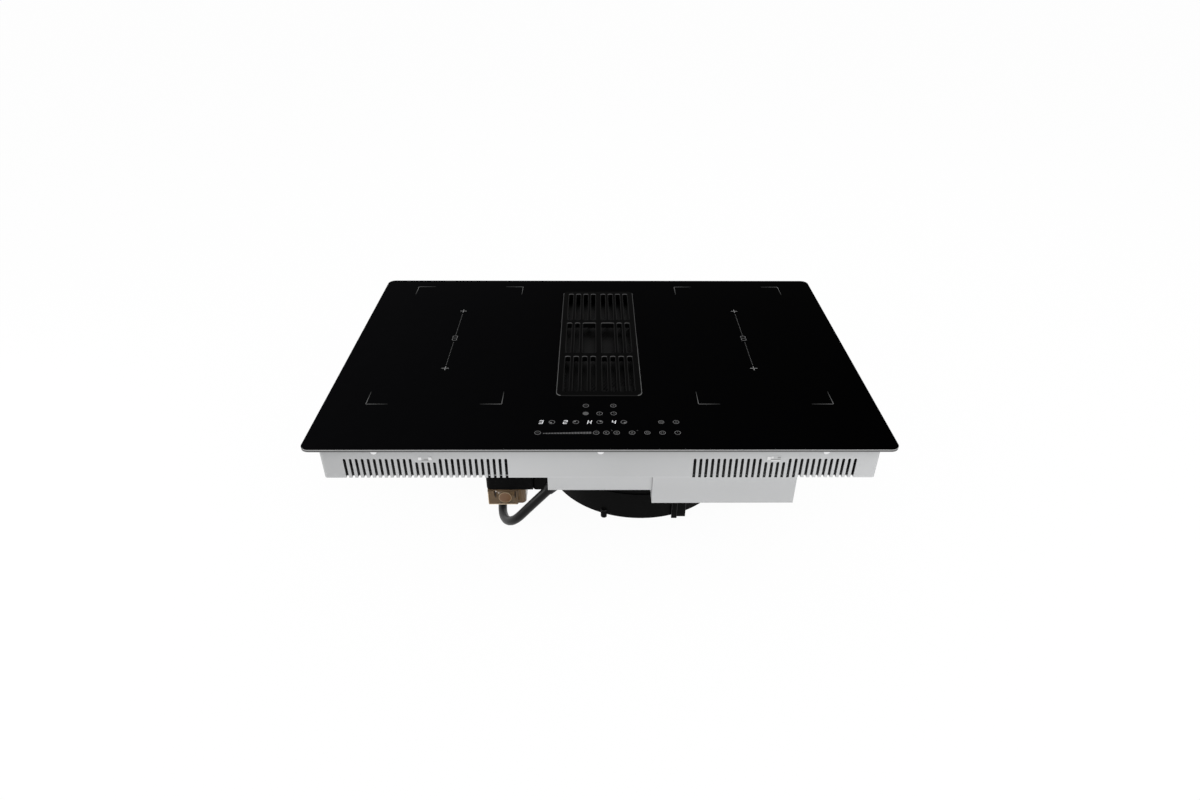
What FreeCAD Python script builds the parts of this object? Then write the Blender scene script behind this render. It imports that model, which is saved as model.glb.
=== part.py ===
"""Downdraft induction cooktop: glass hob, coils and power boards in a steel tray, and a
centre air inlet that leads down to a radial fan in a plastic housing below.

Millimetres. Origin: on the surface that the fan housing's feet stand on, under the middle
of the glass. +X right, +Y to the back, +Z up.
"""
import FreeCAD, Part
import Sketcher
import math
import os
import re

doc = FreeCAD.newDocument("downdraft_cooktop")
sheet = doc.addObject("Spreadsheet::Sheet", "dims")

DIMENSIONS = {
    # glass top and its cut-out
    "glass_width": 770, "glass_depth": 520, "glass_thickness": 4, "glass_top_level": 210,
    "glass_corner": 12, "glass_bevel": 0.5,
    "inlet_x": -1.3, "inlet_y": 36.5, "cutout_width": 124.4, "cutout_depth": 346.4, "cutout_corner": 9.5,
    "seal_inset": 4, "seal_width": 9, "seal_thickness": 2.2, "bond_outer_inset": 2,
    "bond_inner_inset": 10,
    # steel tray
    "tray_width": 736, "tray_depth": 484, "tray_floor_level": 150, "tray_rim_level": 205,
    "tray_wall": 1.2, "tray_corner": 4, "rim_flange": 14,
    "slot_width": 3.8, "slot_pitch": 7.86, "slot_first_x": 124.8, "slot_cut": 4.5,
    "slot_count": 28,
    "slot_top_level": 181.5, "short_slot_top_level": 175.8,
    "lance_x": 230.5, "lance_width": 17.5, "lance_height": 7.5, "lance_level": 182.5,
    "lance_proud": 1.5, "tray_screw_level": 194.8, "tray_screw_x": 295.7, "end_screw_y": 150,
    "screw_head_radius": 4.2, "screw_head_height": 2.4,
    "clamp_hole_radius": 2.2, "clamp_hole_spacing": 300, "clamp_hole_level": 172,
    "intake_radius": 34, "intake_hole_radius": 2.4, "wire_hole_width": 80,
    "wire_hole_depth": 40, "wire_hole_y": -200,
    # air inlet: duct through the tray, grille and grease filter
    "duct_width": 123.2, "duct_depth": 345.2, "duct_corner": 9, "duct_wall": 2.5,
    "duct_top_level": 209, "ledge_level": 186, "ledge_width": 7, "ledge_thickness": 2.5,
    "grille_width": 122, "grille_depth": 344, "grille_corner": 8.5, "grille_top_level": 212,
    "grille_plate": 3, "grille_skirt_level": 203, "grille_skirt_gap": 1.2,
    "slot_columns_pitch": 12.95, "grille_slot_width": 7.7, "grille_slot_length": 101,
    "grille_first_column": 8.55, "grille_row_pitch": 111, "finger_width": 20.7,
    "filter_width": 115.6, "filter_depth": 337.6, "filter_corner": 7.5, "filter_height": 10,
    "filter_border": 7, "filter_lip": 1.5, "mesh_thickness": 0.6, "mesh_layers": 3,
    "mesh_pitch": 2.6,
    # air chamber below the tray, drain collector and condensate cup
    "chamber_left": -99.3, "chamber_right": 215, "chamber_front": -160, "chamber_back": 225,
    "chamber_floor_level": 108, "chamber_wall": 2.5, "trough_right": -60, "trough_back": -100,
    "trough_floor_level": 61, "collector_left": -169.2, "collector_back": -75,
    "collector_corner": 8, "spigot_width": 49, "spigot_depth": 72, "spigot_level": 55.5,
    "cup_x": -139.5, "cup_y": -117.5, "cup_width": 57.8, "cup_depth": 85,
    "cup_floor_level": 33.8, "cup_top_level": 60.6, "cup_wall": 2, "cup_corner": 7,
    "cup_panel_x": -145, "cup_panel_width": 45, "cup_panel": 2.5,
    "clip_slit_width": 1.6, "clip_slit_height": 10, "clip_left_x": -157, "clip_right_x": -125.6,
    "cup_ring_radius": 10.5, "cup_ring_width": 1, "cup_ring_x": -141.4, "cup_ring_level": 49.3,
    "cup_ring_height": 0.8,
    # fan housing, standing on its feet
    "drum_x": 63, "drum_y": -14, "drum_radius": 147, "drum_wall": 2.5, "drum_floor_level": 5,
    "drum_split_level": 47, "drum_top_level": 108, "drum_rim": 2.4, "drum_rim_height": 4,
    "outlet_left": -12, "outlet_right": 210, "outlet_back": 236, "spigot_out_width": 222,
    "spigot_out_height": 89, "outlet_level": 54, "spigot_out_wall": 2, "outlet_length": 20,
    "flange_thickness": 3, "foot_radius": 5, "foot_height": 14,
    "foot_count": 8, "outlet_foot_side": 14, "outlet_foot_back": 16,
    "latch_left": 110, "latch_middle": 118.5, "latch_right": 131.5, "latch_front": -157.3,
    "latch_back": -143, "latch_low_level": 1.5, "latch_tab_level": 4, "latch_tab_recess": 1.2,
    "bell_radius": 80,
    # radial fan
    "fan_x": 50, "fan_y": -5, "wheel_radius": 105, "wheel_floor_level": 48,
    "wheel_floor": 2.5, "wheel_top_level": 99, "wheel_ring": 2,
    "blade_count": 40, "blade_thickness": 1.5, "blade_inner_radius": 89,
    "rotor_radius": 43, "rotor_bore": 39.4, "rotor_low_level": 18,
    "stator_radius": 38.8, "stator_low_level": 20, "stator_height": 22,
    "shaft_radius": 4, "shaft_low_level": 12, "shaft_top_level": 56, "bearing_radius": 11,
    "bearing_height": 7, "bearing_low_level": 21, "bearing_high_level": 34,
    "motor_plate_radius": 58, "motor_plate_level": 13, "motor_plate_thickness": 2,
    "damper_radius": 8, "damper_circle": 48, "running_gap": 0.05,
    # induction coils on their carrier plates
    "coil_x": 231, "coil_front_y": -57, "coil_back_y": 134.5, "coil_width": 182,
    "coil_length": 184, "coil_corner": 62, "coil_hole": 46, "coil_low_level": 198.4,
    "coil_thickness": 5, "former_level": 195.8, "former_thickness": 2.4,
    "ferrite_level": 191.6, "ferrite_thickness": 4, "ferrite_width": 16,
    "ferrite_length": 46, "ferrite_count": 8, "sheet_mica_level": 203.8,
    "sheet_mica_thickness": 0.8, "sensor_radius": 7, "plate_level": 180,
    "plate_thickness": 1.5, "plate_width": 290, "plate_length": 400, "plate_y": 38,
    "coil_spring_radius": 4, "coil_spring_offset": 68,
    # power boards and their cooling
    "board_width": 150, "board_length": 270, "board_level": 157, "board_thickness": 1.6,
    "board_x": 276, "board_y": 40, "sink_width": 46, "sink_length": 150, "sink_height": 19,
    "sink_fin": 1.6, "sink_fins": 7, "sink_x": 300, "sink_y": 20, "blower_x": 145,
    "blower_y": 120, "blower_radius": 46, "blower_height": 22, "blower_wall": 1.6,
    "blower_wheel_radius": 36, "blower_blades": 24, "throat_x": 25, "throat_y": 33,
    "throat_length": 40, "throat_width": 26,
    "capacitor_radius": 11, "capacitor_length": 32, "capacitor_offset": 58,
    "capacitor_first": 20, "capacitor_pitch": 46, "choke_radius": 15, "choke_offset": 46,
    "choke_inset": 40, "choke_height": 14, "standoff_radius": 3.5, "standoff_inset": 8,
    # touch control
    "control_width": 210, "control_depth": 84, "control_x": 10, "control_y": -190,
    "control_level": 199.5, "control_thickness": 1.6, "pad_spring_radius": 4,
    "holder_level": 188, "display_width": 17, "display_depth": 15,
    # boxes under the tray and the mains cord
    "terminal_left": -71, "terminal_right": 70, "terminal_low_level": 126.6,
    "terminal_front": -240, "terminal_back": -165, "box_wall": 1, "driver_right": 264,
    "driver_front": -242, "driver_low_level": 105.2, "driver_gap": 0.2,
    "driver_board_x": 167, "driver_board_y": -203, "driver_board_width": 170,
    "driver_board_depth": 60, "driver_leg_radius": 3, "driver_leg_height": 5,
    "driver_part_width": 26, "driver_part_depth": 30, "driver_part_height": 22,
    "way_first_x": -10, "way_pitch": 12, "way_y": -200, "way_width": 11, "way_depth": 26,
    "way_height": 15, "way_base_x": 20, "way_base_width": 76, "way_base_depth": 20,
    "way_base_height": 6,
    "cord_diameter": 13.4, "cord_hole_radius": 9.6, "boot_collar_radius": 12,
    "boot_collar": 2.5, "boot_length": 20,
    "coil_centre_x": -243.4, "coil_centre_y": 104, "coil_outer_radius": 88,
    "tie_width": 8, "tie_thickness": 0.8, "core_count": 5, "core_circle": 3.6,
    "core_radius": 1.7, "core_length": 24, "ferrule_radius": 1.3, "ferrule_length": 10,
}

for row, (name, value) in enumerate(DIMENSIONS.items(), start=1):
    sheet.set(f"A{row}", name)
    sheet.set(f"B{row}", str(value))
    sheet.setAlias(f"B{row}", name)
doc.recompute()

NAMES = re.compile(r"\b(" + "|".join(sorted(DIMENSIONS, key=len, reverse=True)) + r")\b")
nodes = []


# ---------- helpers ----------
def bound(expression):
    """The expression with every dimension's name pointing at the sheet."""
    return NAMES.sub(r"dims.\1", str(expression))


def value_of(expression):
    return float(sheet.evalExpression(bound(expression)))


def bind(thing, **sizes):
    for name, expression in sizes.items():
        thing.setExpression(name, bound(expression))


def place(thing, x=0, y=0, z=0):
    for axis, expression in zip("xyz", (x, y, z)):
        thing.setExpression(f"Placement.Base.{axis}", bound(expression))


def node(thing, label):
    thing.Label = label
    nodes.append(thing)
    return thing


def block(name, x, y, z, width, depth, height):
    """A box centred on x and y, standing on z."""
    box = doc.addObject("Part::Box", name)
    bind(box, Length=width, Width=depth, Height=height)
    place(box, f"({x}) - ({width}) / 2", f"({y}) - ({depth}) / 2", z)
    return box


def span_block(name, low, high):
    """A box between two corners, each given as three expressions."""
    box = doc.addObject("Part::Box", name)
    sizes = [f"({b}) - ({a})" for a, b in zip(low, high)]
    bind(box, Length=sizes[0], Width=sizes[1], Height=sizes[2])
    place(box, *low)
    return box


def rod(name, x, y, z, radius, height, axis="z"):
    cylinder = doc.addObject("Part::Cylinder", name)
    bind(cylinder, Radius=radius, Height=height)
    turns = {"z": FreeCAD.Rotation(), "y": FreeCAD.Rotation(FreeCAD.Vector(1, 0, 0), -90),
             "x": FreeCAD.Rotation(FreeCAD.Vector(0, 1, 0), 90)}
    cylinder.Placement.Rotation = turns[axis]
    place(cylinder, x, y, z)
    return cylinder


def cut(name, base, *tools):
    result = doc.addObject("Part::Cut", name)
    result.Base = base
    result.Tool = tools[0] if len(tools) == 1 else fuse(name + "_tools", *tools)
    return result


def fuse(name, *shapes):
    result = doc.addObject("Part::MultiFuse", name)
    result.Shapes = list(shapes)
    return result


def group(name, *shapes):
    """Separate solids that share one node, such as a set of screws."""
    result = doc.addObject("Part::Compound", name)
    result.Links = list(shapes)
    return result


UP = FreeCAD.Vector(0, 0, 1)
BLADE_LEAN = 28  # degrees from the radius


def new_body(label, exported=True):
    body = doc.addObject("PartDesign::Body", label)
    return node(body, label) if exported else body


def sketch_on(body, name, plane="XY_Plane", level=0, x=0, y=0):
    """A sketch on one of the body's own planes, moved along the normal and in the plane."""
    sketch = body.newObject("Sketcher::SketchObject", name)
    support = [f for f in body.Origin.OriginFeatures if f.Role == plane]
    sketch.AttachmentSupport = [(support[0], "")]
    sketch.MapMode = "FlatFace"
    for axis, expression in zip("xyz", (x, y, level)):
        sketch.setExpression(f"AttachmentOffset.Base.{axis}", bound(expression))
    return sketch


def hold(sketch, kind, geometry, expression):
    """A dimension of the sketch that follows the sheet."""
    index = sketch.addConstraint(Sketcher.Constraint(kind, *geometry, value_of(expression)))
    sketch.setExpression(f"Constraints[{index}]", bound(expression))


def rectangle(sketch, x, y, width, depth, corner=None):
    """A centred rectangle, with round corners where a corner radius is given."""
    cx, cy, w, d = (value_of(e) for e in (x, y, width, depth))
    r = value_of(corner) if corner else 0
    left, right, low, high = cx - w / 2, cx + w / 2, cy - d / 2, cy + d / 2
    first = sketch.GeometryCount
    ends = [((left + r, low), (right - r, low)), ((right, low + r), (right, high - r)),
            ((right - r, high), (left + r, high)), ((left, high - r), (left, low + r))]
    for start, end in ends:
        sketch.addGeometry(Part.LineSegment(FreeCAD.Vector(*start, 0), FreeCAD.Vector(*end, 0)))
    rules = [Sketcher.Constraint("Horizontal" if i % 2 == 0 else "Vertical", first + i)
             for i in range(4)]
    if corner:
        centres = [(right - r, low + r, -90), (right - r, high - r, 0),
                   (left + r, high - r, 90), (left + r, low + r, 180)]
        for i, (ax, ay, start) in enumerate(centres):
            circle = Part.Circle(FreeCAD.Vector(ax, ay, 0), UP, r)
            sketch.addGeometry(Part.ArcOfCircle(circle, math.radians(start),
                                                math.radians(start + 90)))
            arc = first + 4 + i
            rules.append(Sketcher.Constraint("Tangent", first + i, 2, arc, 1))
            rules.append(Sketcher.Constraint("Tangent", arc, 2, first + (i + 1) % 4, 1))
            if i:
                rules.append(Sketcher.Constraint("Equal", first + 4, arc))
        sketch.addConstraint(rules)
        hold(sketch, "Radius", (first + 4,), corner)
    else:
        rules += [Sketcher.Constraint("Coincident", first + i, 2, first + (i + 1) % 4, 1)
                  for i in range(4)]
        sketch.addConstraint(rules)
    hold(sketch, "DistanceX", (-1, 1, first + 3, 1), f"({x}) - ({width}) / 2")
    hold(sketch, "DistanceX", (-1, 1, first + 1, 1), f"({x}) + ({width}) / 2")
    hold(sketch, "DistanceY", (-1, 1, first, 1), f"({y}) - ({depth}) / 2")
    hold(sketch, "DistanceY", (-1, 1, first + 2, 1), f"({y}) + ({depth}) / 2")


def circle(sketch, x, y, radius):
    cx, cy, r = value_of(x), value_of(y), value_of(radius)
    index = sketch.addGeometry(Part.Circle(FreeCAD.Vector(cx, cy, 0), UP, r))
    hold(sketch, "Radius", (index,), radius)
    hold(sketch, "DistanceX", (-1, 1, index, 3), x)
    hold(sketch, "DistanceY", (-1, 1, index, 3), y)


def pad(body, sketch, length, name):
    feature = body.newObject("PartDesign::Pad", name)
    feature.Profile = sketch
    feature.Refine = False
    bind(feature, Length=length)
    return feature


def pocket(body, sketch, length, name, upward=True):
    """A pocket that starts at the sketch and cuts up, or down where upward is false."""
    feature = body.newObject("PartDesign::Pocket", name)
    feature.Profile = sketch
    feature.Reversed = upward
    feature.Refine = False
    bind(feature, Length=length)
    return feature


def plate(body, name, level, thickness, *outline):
    """A pad of one rectangle."""
    sketch = sketch_on(body, name + "_outline", level=level)
    rectangle(sketch, *outline)
    return pad(body, sketch, thickness, name)


def opening(body, name, level, height, *outline):
    """A rectangular pocket from a level upwards."""
    sketch = sketch_on(body, name + "_outline", level=level)
    rectangle(sketch, *outline)
    return pocket(body, sketch, height, name)


def round_opening(body, name, level, height, x, y, radius):
    sketch = sketch_on(body, name + "_outline", level=level)
    circle(sketch, x, y, radius)
    return pocket(body, sketch, height, name)


def row_of(body, feature, sketch, count, length, name, axis="H_Axis"):
    """The feature repeated in a row along the sketch's axis."""
    pattern = body.newObject("PartDesign::LinearPattern", name)
    pattern.Originals = [feature]
    pattern.Direction = (sketch, [axis])
    pattern.Occurrences = count
    pattern.Refine = False
    bind(pattern, Length=length)
    body.Tip = pattern
    return pattern


# ---------- glass top ----------
def glass_top():
    body = new_body("glass_top")
    sketch = sketch_on(body, "sheet_outline", level="glass_top_level - glass_thickness")
    rectangle(sketch, 0, 0, "glass_width", "glass_depth", "glass_corner")
    rectangle(sketch, "inlet_x", "inlet_y", "cutout_width", "cutout_depth", "cutout_corner")
    pad(body, sketch, "glass_thickness", "sheet")
    doc.recompute()
    top = value_of("glass_top_level")
    edges = [f"Edge{i}" for i, edge in enumerate(body.Shape.Edges, start=1)
             if all(abs(vertex.Z - top) < 0.01 for vertex in edge.Vertexes)]
    sheet_feature = body.Tip
    bevel = body.newObject("PartDesign::Chamfer", "ground_edge")
    bevel.Base = (sheet_feature, edges)
    bind(bevel, Size="glass_bevel")


def edge_seal():
    body = new_body("edge_seal")
    level = "glass_top_level - glass_thickness - seal_thickness"
    sketch = sketch_on(body, "tape_outline", level=level)
    for inset in ("seal_inset", "seal_inset + seal_width"):
        rectangle(sketch, 0, 0, f"glass_width - 2 * ({inset})", f"glass_depth - 2 * ({inset})",
                  "glass_corner - seal_inset")
    pad(body, sketch, "seal_thickness", "tape")


def glass_bond():
    """The silicone bead between the tray's rim and the glass."""
    body = new_body("glass_bond")
    sketch = sketch_on(body, "bead_outline", level="tray_rim_level")
    for inset in ("bond_outer_inset", "bond_inner_inset"):
        rectangle(sketch, 0, 0, f"tray_width - 2 * {inset}", f"tray_depth - 2 * {inset}",
                  "tray_corner")
    pad(body, sketch, "glass_top_level - glass_thickness - tray_rim_level", "bead")


# ---------- steel tray ----------
def tray():
    """The folded tray: front vent slots that wrap under its edge, and holes in its floor."""
    body = new_body("tray_shell", exported=False)
    height = "tray_rim_level - tray_floor_level"
    inner = ("tray_width - 2 * tray_wall", "tray_depth - 2 * tray_wall")
    plate(body, "shell", "tray_floor_level", height, 0, 0, "tray_width", "tray_depth",
          "tray_corner")
    opening(body, "cavity", "tray_floor_level + tray_wall", height, 0, 0, *inner,
            "tray_corner - tray_wall")
    sketch = sketch_on(body, "flange_outline", level="tray_rim_level - tray_wall")
    rectangle(sketch, 0, 0, *inner, "tray_corner - tray_wall")
    rectangle(sketch, 0, 0, "tray_width - 2 * rim_flange", "tray_depth - 2 * rim_flange",
              "tray_corner")
    pad(body, sketch, "tray_wall", "flange")
    opening(body, "duct_opening", "tray_floor_level - 1", "tray_wall + 2", "inlet_x",
            "inlet_y", "duct_width + 1", "duct_depth + 1", "duct_corner + 0.5")
    opening(body, "wire_hole", "tray_floor_level - 1", "tray_wall + 2", 0, "wire_hole_y",
            "wire_hole_width", "wire_hole_depth")
    clamp = sketch_on(body, "clamp_outline", "YZ_Plane", "-tray_width / 2 - 1")
    for side in (-1, 1):
        circle(clamp, f"{side} * clamp_hole_spacing / 2", "clamp_hole_level",
               "clamp_hole_radius")
    pocket(body, clamp, "tray_width + 2", "clamp_holes")
    slots, slot_ends, holes = [], [], []
    for side in (-1, 1):
        word = "left" if side < 0 else "right"
        sketch = sketch_on(body, f"lance_{word}_outline", "XZ_Plane", "tray_depth / 2 - 0.2")
        rectangle(sketch, f"{side} * lance_x", "lance_level", "lance_width", "lance_height",
                  "lance_height / 2 - 0.2")
        pad(body, sketch, "lance_proud + 0.2", f"lance_{word}")
        for index in range(DIMENSIONS["slot_count"]):
            x = f"{side} * (slot_first_x + {index} * slot_pitch)"
            below_lance = abs(index - (DIMENSIONS["slot_count"] - 1) / 2) < 2
            top = "short_slot_top_level" if below_lance else "slot_top_level"
            end_level = f"{top} - slot_width / 2"
            slots.append(block(f"slot_{word}_{index}", x, "-(tray_depth) / 2",
                               "tray_floor_level - 1", "slot_width", "2 * slot_cut",
                               f"{end_level} - tray_floor_level + 1"))
            slot_ends.append(rod(f"slot_end_{word}_{index}", x, "-(tray_depth) / 2 - 1",
                                 end_level, "slot_width / 2", "slot_cut + 1", "y"))
        for count, ring in ((20, "intake_radius - 3"), (11, "intake_radius / 2")):
            for index in range(count):
                angle = 2 * math.pi * index / count
                x = f"{side} * blower_x + ({ring}) * {math.cos(angle):.6f}"
                y = f"blower_y + ({ring}) * {math.sin(angle):.6f}"
                holes.append(rod(f"intake_{word}_{count}_{index}", x, y,
                                 "tray_floor_level - 1", "intake_hole_radius",
                                 "tray_wall + 2"))
    slotted = cut("tray_with_slots", body, group("slot_tools", *slots))
    rounded = cut("tray_with_round_slots", slotted, group("slot_end_tools", *slot_ends))
    node(cut("tray", rounded, group("intake_tools", *holes)), "tray")


def tray_screws():
    """Pan-head screws that close the tray, three on each long side and two on each end."""
    screws = []
    for face in (-1, 1):
        for column in (-1, 0, 1):
            y = f"{face} * tray_depth / 2 - {1 if face < 0 else 0} * screw_head_height"
            screws.append(rod(f"long_side_screw_{face}_{column}", f"{column} * tray_screw_x", y,
                              "tray_screw_level", "screw_head_radius", "screw_head_height", "y"))
        for row in (-1, 1):
            x = f"{face} * tray_width / 2 - {1 if face < 0 else 0} * screw_head_height"
            screws.append(rod(f"end_screw_{face}_{row}", x, f"{row} * end_screw_y",
                              "tray_screw_level", "screw_head_radius", "screw_head_height", "x"))
    node(group("tray_screws", *screws), "tray_screws")


# ---------- air inlet: duct, grille, grease filter ----------
def inlet_duct():
    body = new_body("inlet_duct")
    height = "duct_top_level - tray_floor_level"
    plate(body, "tube", "tray_floor_level", height, "inlet_x", "inlet_y", "duct_width",
          "duct_depth", "duct_corner")
    opening(body, "bore", "tray_floor_level", height, "inlet_x", "inlet_y",
            "duct_width - 2 * duct_wall", "duct_depth - 2 * duct_wall",
            "duct_corner - duct_wall")
    sketch = sketch_on(body, "ledge_outline", level="ledge_level")
    rectangle(sketch, "inlet_x", "inlet_y", "duct_width - duct_wall", "duct_depth - duct_wall",
              "duct_corner - duct_wall / 2")
    rectangle(sketch, "inlet_x", "inlet_y", "duct_width - 2 * duct_wall - 2 * ledge_width",
              "duct_depth - 2 * duct_wall - 2 * ledge_width", "duct_corner - duct_wall")
    pad(body, sketch, "ledge_thickness", "ledge")


def grille():
    """Eight slots across in three rows; the middle row's inner slots join as finger holes."""
    body = new_body("grille")
    skirt = "grille_top_level - grille_plate - grille_skirt_level"
    gap = "2 * (duct_wall + grille_skirt_gap)"
    plate(body, "bars", "grille_skirt_level", skirt, "inlet_x", "inlet_y",
          f"duct_width - {gap}", f"duct_depth - {gap}", "duct_corner - duct_wall")
    plate(body, "rim", "grille_top_level - grille_plate", "grille_plate", "inlet_x", "inlet_y",
          "grille_width", "grille_depth", "grille_corner")
    depth = "grille_top_level - grille_skirt_level + 2"
    level = "grille_skirt_level - 1"
    for side in (-1, 1):
        for row in (-1, 0, 1):
            y = f"inlet_y + {row} * grille_row_pitch"
            name = f"slots_{'left' if side < 0 else 'right'}_{row + 2}"
            sketch = sketch_on(body, name + "_outline", level=level)
            rectangle(sketch, f"inlet_x + {side} * grille_first_column", y,
                      "grille_slot_width", "grille_slot_length", "grille_slot_width * 0.4")
            feature = pocket(body, sketch, depth, name)
            pattern = row_of(body, feature, sketch, 4, "3 * slot_columns_pitch", name + "_row")
            pattern.Reversed = side < 0
        opening(body, f"finger_hole_{side + 2}", level, depth,
                f"inlet_x + {side} * (grille_first_column + slot_columns_pitch / 2)",
                "inlet_y", "finger_width", "grille_slot_length", "grille_slot_width * 0.4")


def grease_filter():
    """A folded aluminium frame that holds layers of expanded mesh."""
    body = new_body("filter_frame")
    low = "ledge_level + ledge_thickness"
    outline = ("filter_width", "filter_depth")
    plate(body, "frame", low, "filter_height", "inlet_x", "inlet_y", *outline, "filter_corner")
    opening(body, "window", low, "filter_height", "inlet_x", "inlet_y",
            "filter_width - 2 * filter_border", "filter_depth - 2 * filter_border",
            "filter_corner / 2")
    opening(body, "channel", f"{low} + filter_lip", "filter_height - 2 * filter_lip", "inlet_x",
            "inlet_y", "filter_width - 2 * filter_lip", "filter_depth - 2 * filter_lip",
            "filter_corner - filter_lip")
    layers = []
    for layer in range(DIMENSIONS["mesh_layers"]):
        layers.append(block(f"mesh_layer_{layer + 1}", "inlet_x", "inlet_y",
                            f"{low} + filter_lip + 0.5 + {layer} * mesh_pitch",
                            "filter_width - 2 * filter_lip - 1",
                            "filter_depth - 2 * filter_lip - 1", "mesh_thickness"))
    node(group("filter_mesh", *layers), "filter_mesh")


# ---------- air chamber, drain collector and cup ----------
def air_chamber():
    """The wide chamber over the fan, with a trough at its front left that drains it."""
    body = new_body("air_chamber")
    wall = "chamber_wall"
    width, middle = span("chamber_left", "chamber_right")
    depth, middle_y = span("chamber_front", "chamber_back")
    plate(body, "chamber", "chamber_floor_level", "tray_floor_level - chamber_floor_level",
          middle, middle_y, width, depth, "chamber_wall * 2")
    trough_width, trough_x = span("chamber_left", "trough_right")
    trough_depth, trough_y = span("chamber_front", "trough_back")
    plate(body, "trough", "trough_floor_level", "chamber_floor_level - trough_floor_level + 5",
          trough_x, trough_y, trough_width, trough_depth, "chamber_wall * 2")
    opening(body, "chamber_room", f"chamber_floor_level + {wall}",
            f"tray_floor_level - chamber_floor_level - 2 * {wall}", middle, middle_y,
            f"{width} - 2 * {wall}", f"{depth} - 2 * {wall}", "chamber_wall")
    opening(body, "trough_room", f"trough_floor_level + {wall}",
            "chamber_floor_level - trough_floor_level + 5", trough_x, trough_y,
            f"{trough_width} - 2 * {wall}", f"{trough_depth} - 2 * {wall}", "chamber_wall")
    opening(body, "inlet_opening", f"tray_floor_level - {wall} - 1", f"{wall} + 2", "inlet_x",
            "inlet_y", "duct_width - 2 * duct_wall", "duct_depth - 2 * duct_wall",
            "duct_corner - duct_wall")
    round_opening(body, "fan_opening", "chamber_floor_level - 1", f"{wall} + 2", "fan_x",
                  "fan_y", "bell_radius + 3")
    opening(body, "drain_window", f"trough_floor_level + {wall}",
            "tray_floor_level - trough_floor_level - 3 * chamber_wall", "chamber_left",
            trough_y, f"4 * {wall}", f"{trough_depth} - 4 * {wall}")


def span(low, high):
    """The width between two values and their middle, as expressions."""
    return f"(({high}) - ({low}))", f"(({low}) + ({high})) / 2"


def collector():
    body = new_body("drain_collector")
    width, x = span("collector_left", "chamber_left")
    depth, y = span("chamber_front", "collector_back")
    wall = "chamber_wall"
    height = "tray_floor_level - trough_floor_level"
    plate(body, "shell", "trough_floor_level", height, x, y, width, depth, "collector_corner")
    plate(body, "square_side", "trough_floor_level", height, "chamber_left - collector_corner",
          y, "2 * collector_corner", depth)
    plate(body, "spigot", "spigot_level", "trough_floor_level - spigot_level + 1", "cup_x",
          "cup_y", "spigot_width", "spigot_depth", "cup_corner")
    opening(body, "room", f"trough_floor_level + {wall}", f"{height} - 2 * {wall}", x, y,
            f"{width} - 2 * {wall}", f"{depth} - 2 * {wall}", "collector_corner - 2")
    opening(body, "drain", "spigot_level - 1", "trough_floor_level - spigot_level + 5", "cup_x",
            "cup_y", f"spigot_width - 2 * {wall}", f"spigot_depth - 2 * {wall}",
            "cup_corner - 2")
    trough_depth, trough_y = span("chamber_front", "trough_back")
    opening(body, "inflow_window", f"trough_floor_level + {wall}",
            "tray_floor_level - trough_floor_level - 3 * chamber_wall", "chamber_left",
            trough_y, f"4 * {wall}", f"{trough_depth} - 4 * {wall}")


def cup_seal():
    body = new_body("cup_seal")
    sketch = sketch_on(body, "ring_outline", level="spigot_level + 2")
    rectangle(sketch, "cup_x", "cup_y", "cup_width - 2 * cup_wall - 0.6",
              "cup_depth - 2 * cup_wall - 0.6", "cup_corner - cup_wall")
    rectangle(sketch, "cup_x", "cup_y", "spigot_width", "spigot_depth", "cup_corner")
    pad(body, sketch, 3, "ring")


def condensate_cup():
    """The see-through cup, with a front panel that has a thumb ring and two clip slits."""
    body = new_body("condensate_cup")
    height = "cup_top_level - cup_floor_level"
    plate(body, "shell", "cup_floor_level", height, "cup_x", "cup_y", "cup_width", "cup_depth",
          "cup_corner")
    front = "cup_y - cup_depth / 2"
    plate(body, "panel", "cup_floor_level - 0.8", f"{height} + 0.3", "cup_panel_x",
          f"{front} + 2", "cup_panel_width", "4 + 2 * cup_panel", "cup_panel")
    opening(body, "room", "cup_floor_level + cup_wall", height, "cup_x", "cup_y",
            "cup_width - 2 * cup_wall", "cup_depth - 2 * cup_wall", "cup_corner - cup_wall")
    face = "-(cup_y) + cup_depth / 2 + cup_panel"
    for x in ("clip_left_x", "clip_right_x"):
        sketch = sketch_on(body, f"{x}_slit", "XZ_Plane", f"{face} + 1")
        rectangle(sketch, x, "cup_top_level - clip_slit_height / 2 + 1", "clip_slit_width",
                  "clip_slit_height + 2")
        pocket(body, sketch, "2.2", f"{x}_cut", upward=False)
    sketch = sketch_on(body, "thumb_ring_outline", "XZ_Plane", f"{face} - 0.1")
    circle(sketch, "cup_ring_x", "cup_ring_level", "cup_ring_radius")
    circle(sketch, "cup_ring_x", "cup_ring_level", "cup_ring_radius - cup_ring_width")
    pad(body, sketch, "cup_ring_height", "thumb_ring")


# ---------- fan housing ----------
def scroll_outline(body, name, level, inset, height, radius="drum_radius", back="outlet_back"):
    """The drum's circle joined to the straight outlet, as two pads or two pockets."""
    add = pad if inset == "0" else pocket
    drum = sketch_on(body, name + "_drum_outline", level=level)
    circle(drum, "drum_x", "drum_y", f"{radius} - {inset}")
    add(body, drum, height, name + "_drum")
    width, x = span("outlet_left", "outlet_right")
    depth, y = span("drum_y", back)
    outlet = sketch_on(body, name + "_outlet_outline", level=level)
    open_end = f"({inset})" if inset != "0" else "0"
    rectangle(outlet, x, f"{y} + {open_end} / 2", f"{width} - 2 * ({inset})",
              f"{depth} + {open_end}")
    add(body, outlet, height, name + "_outlet")


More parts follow.
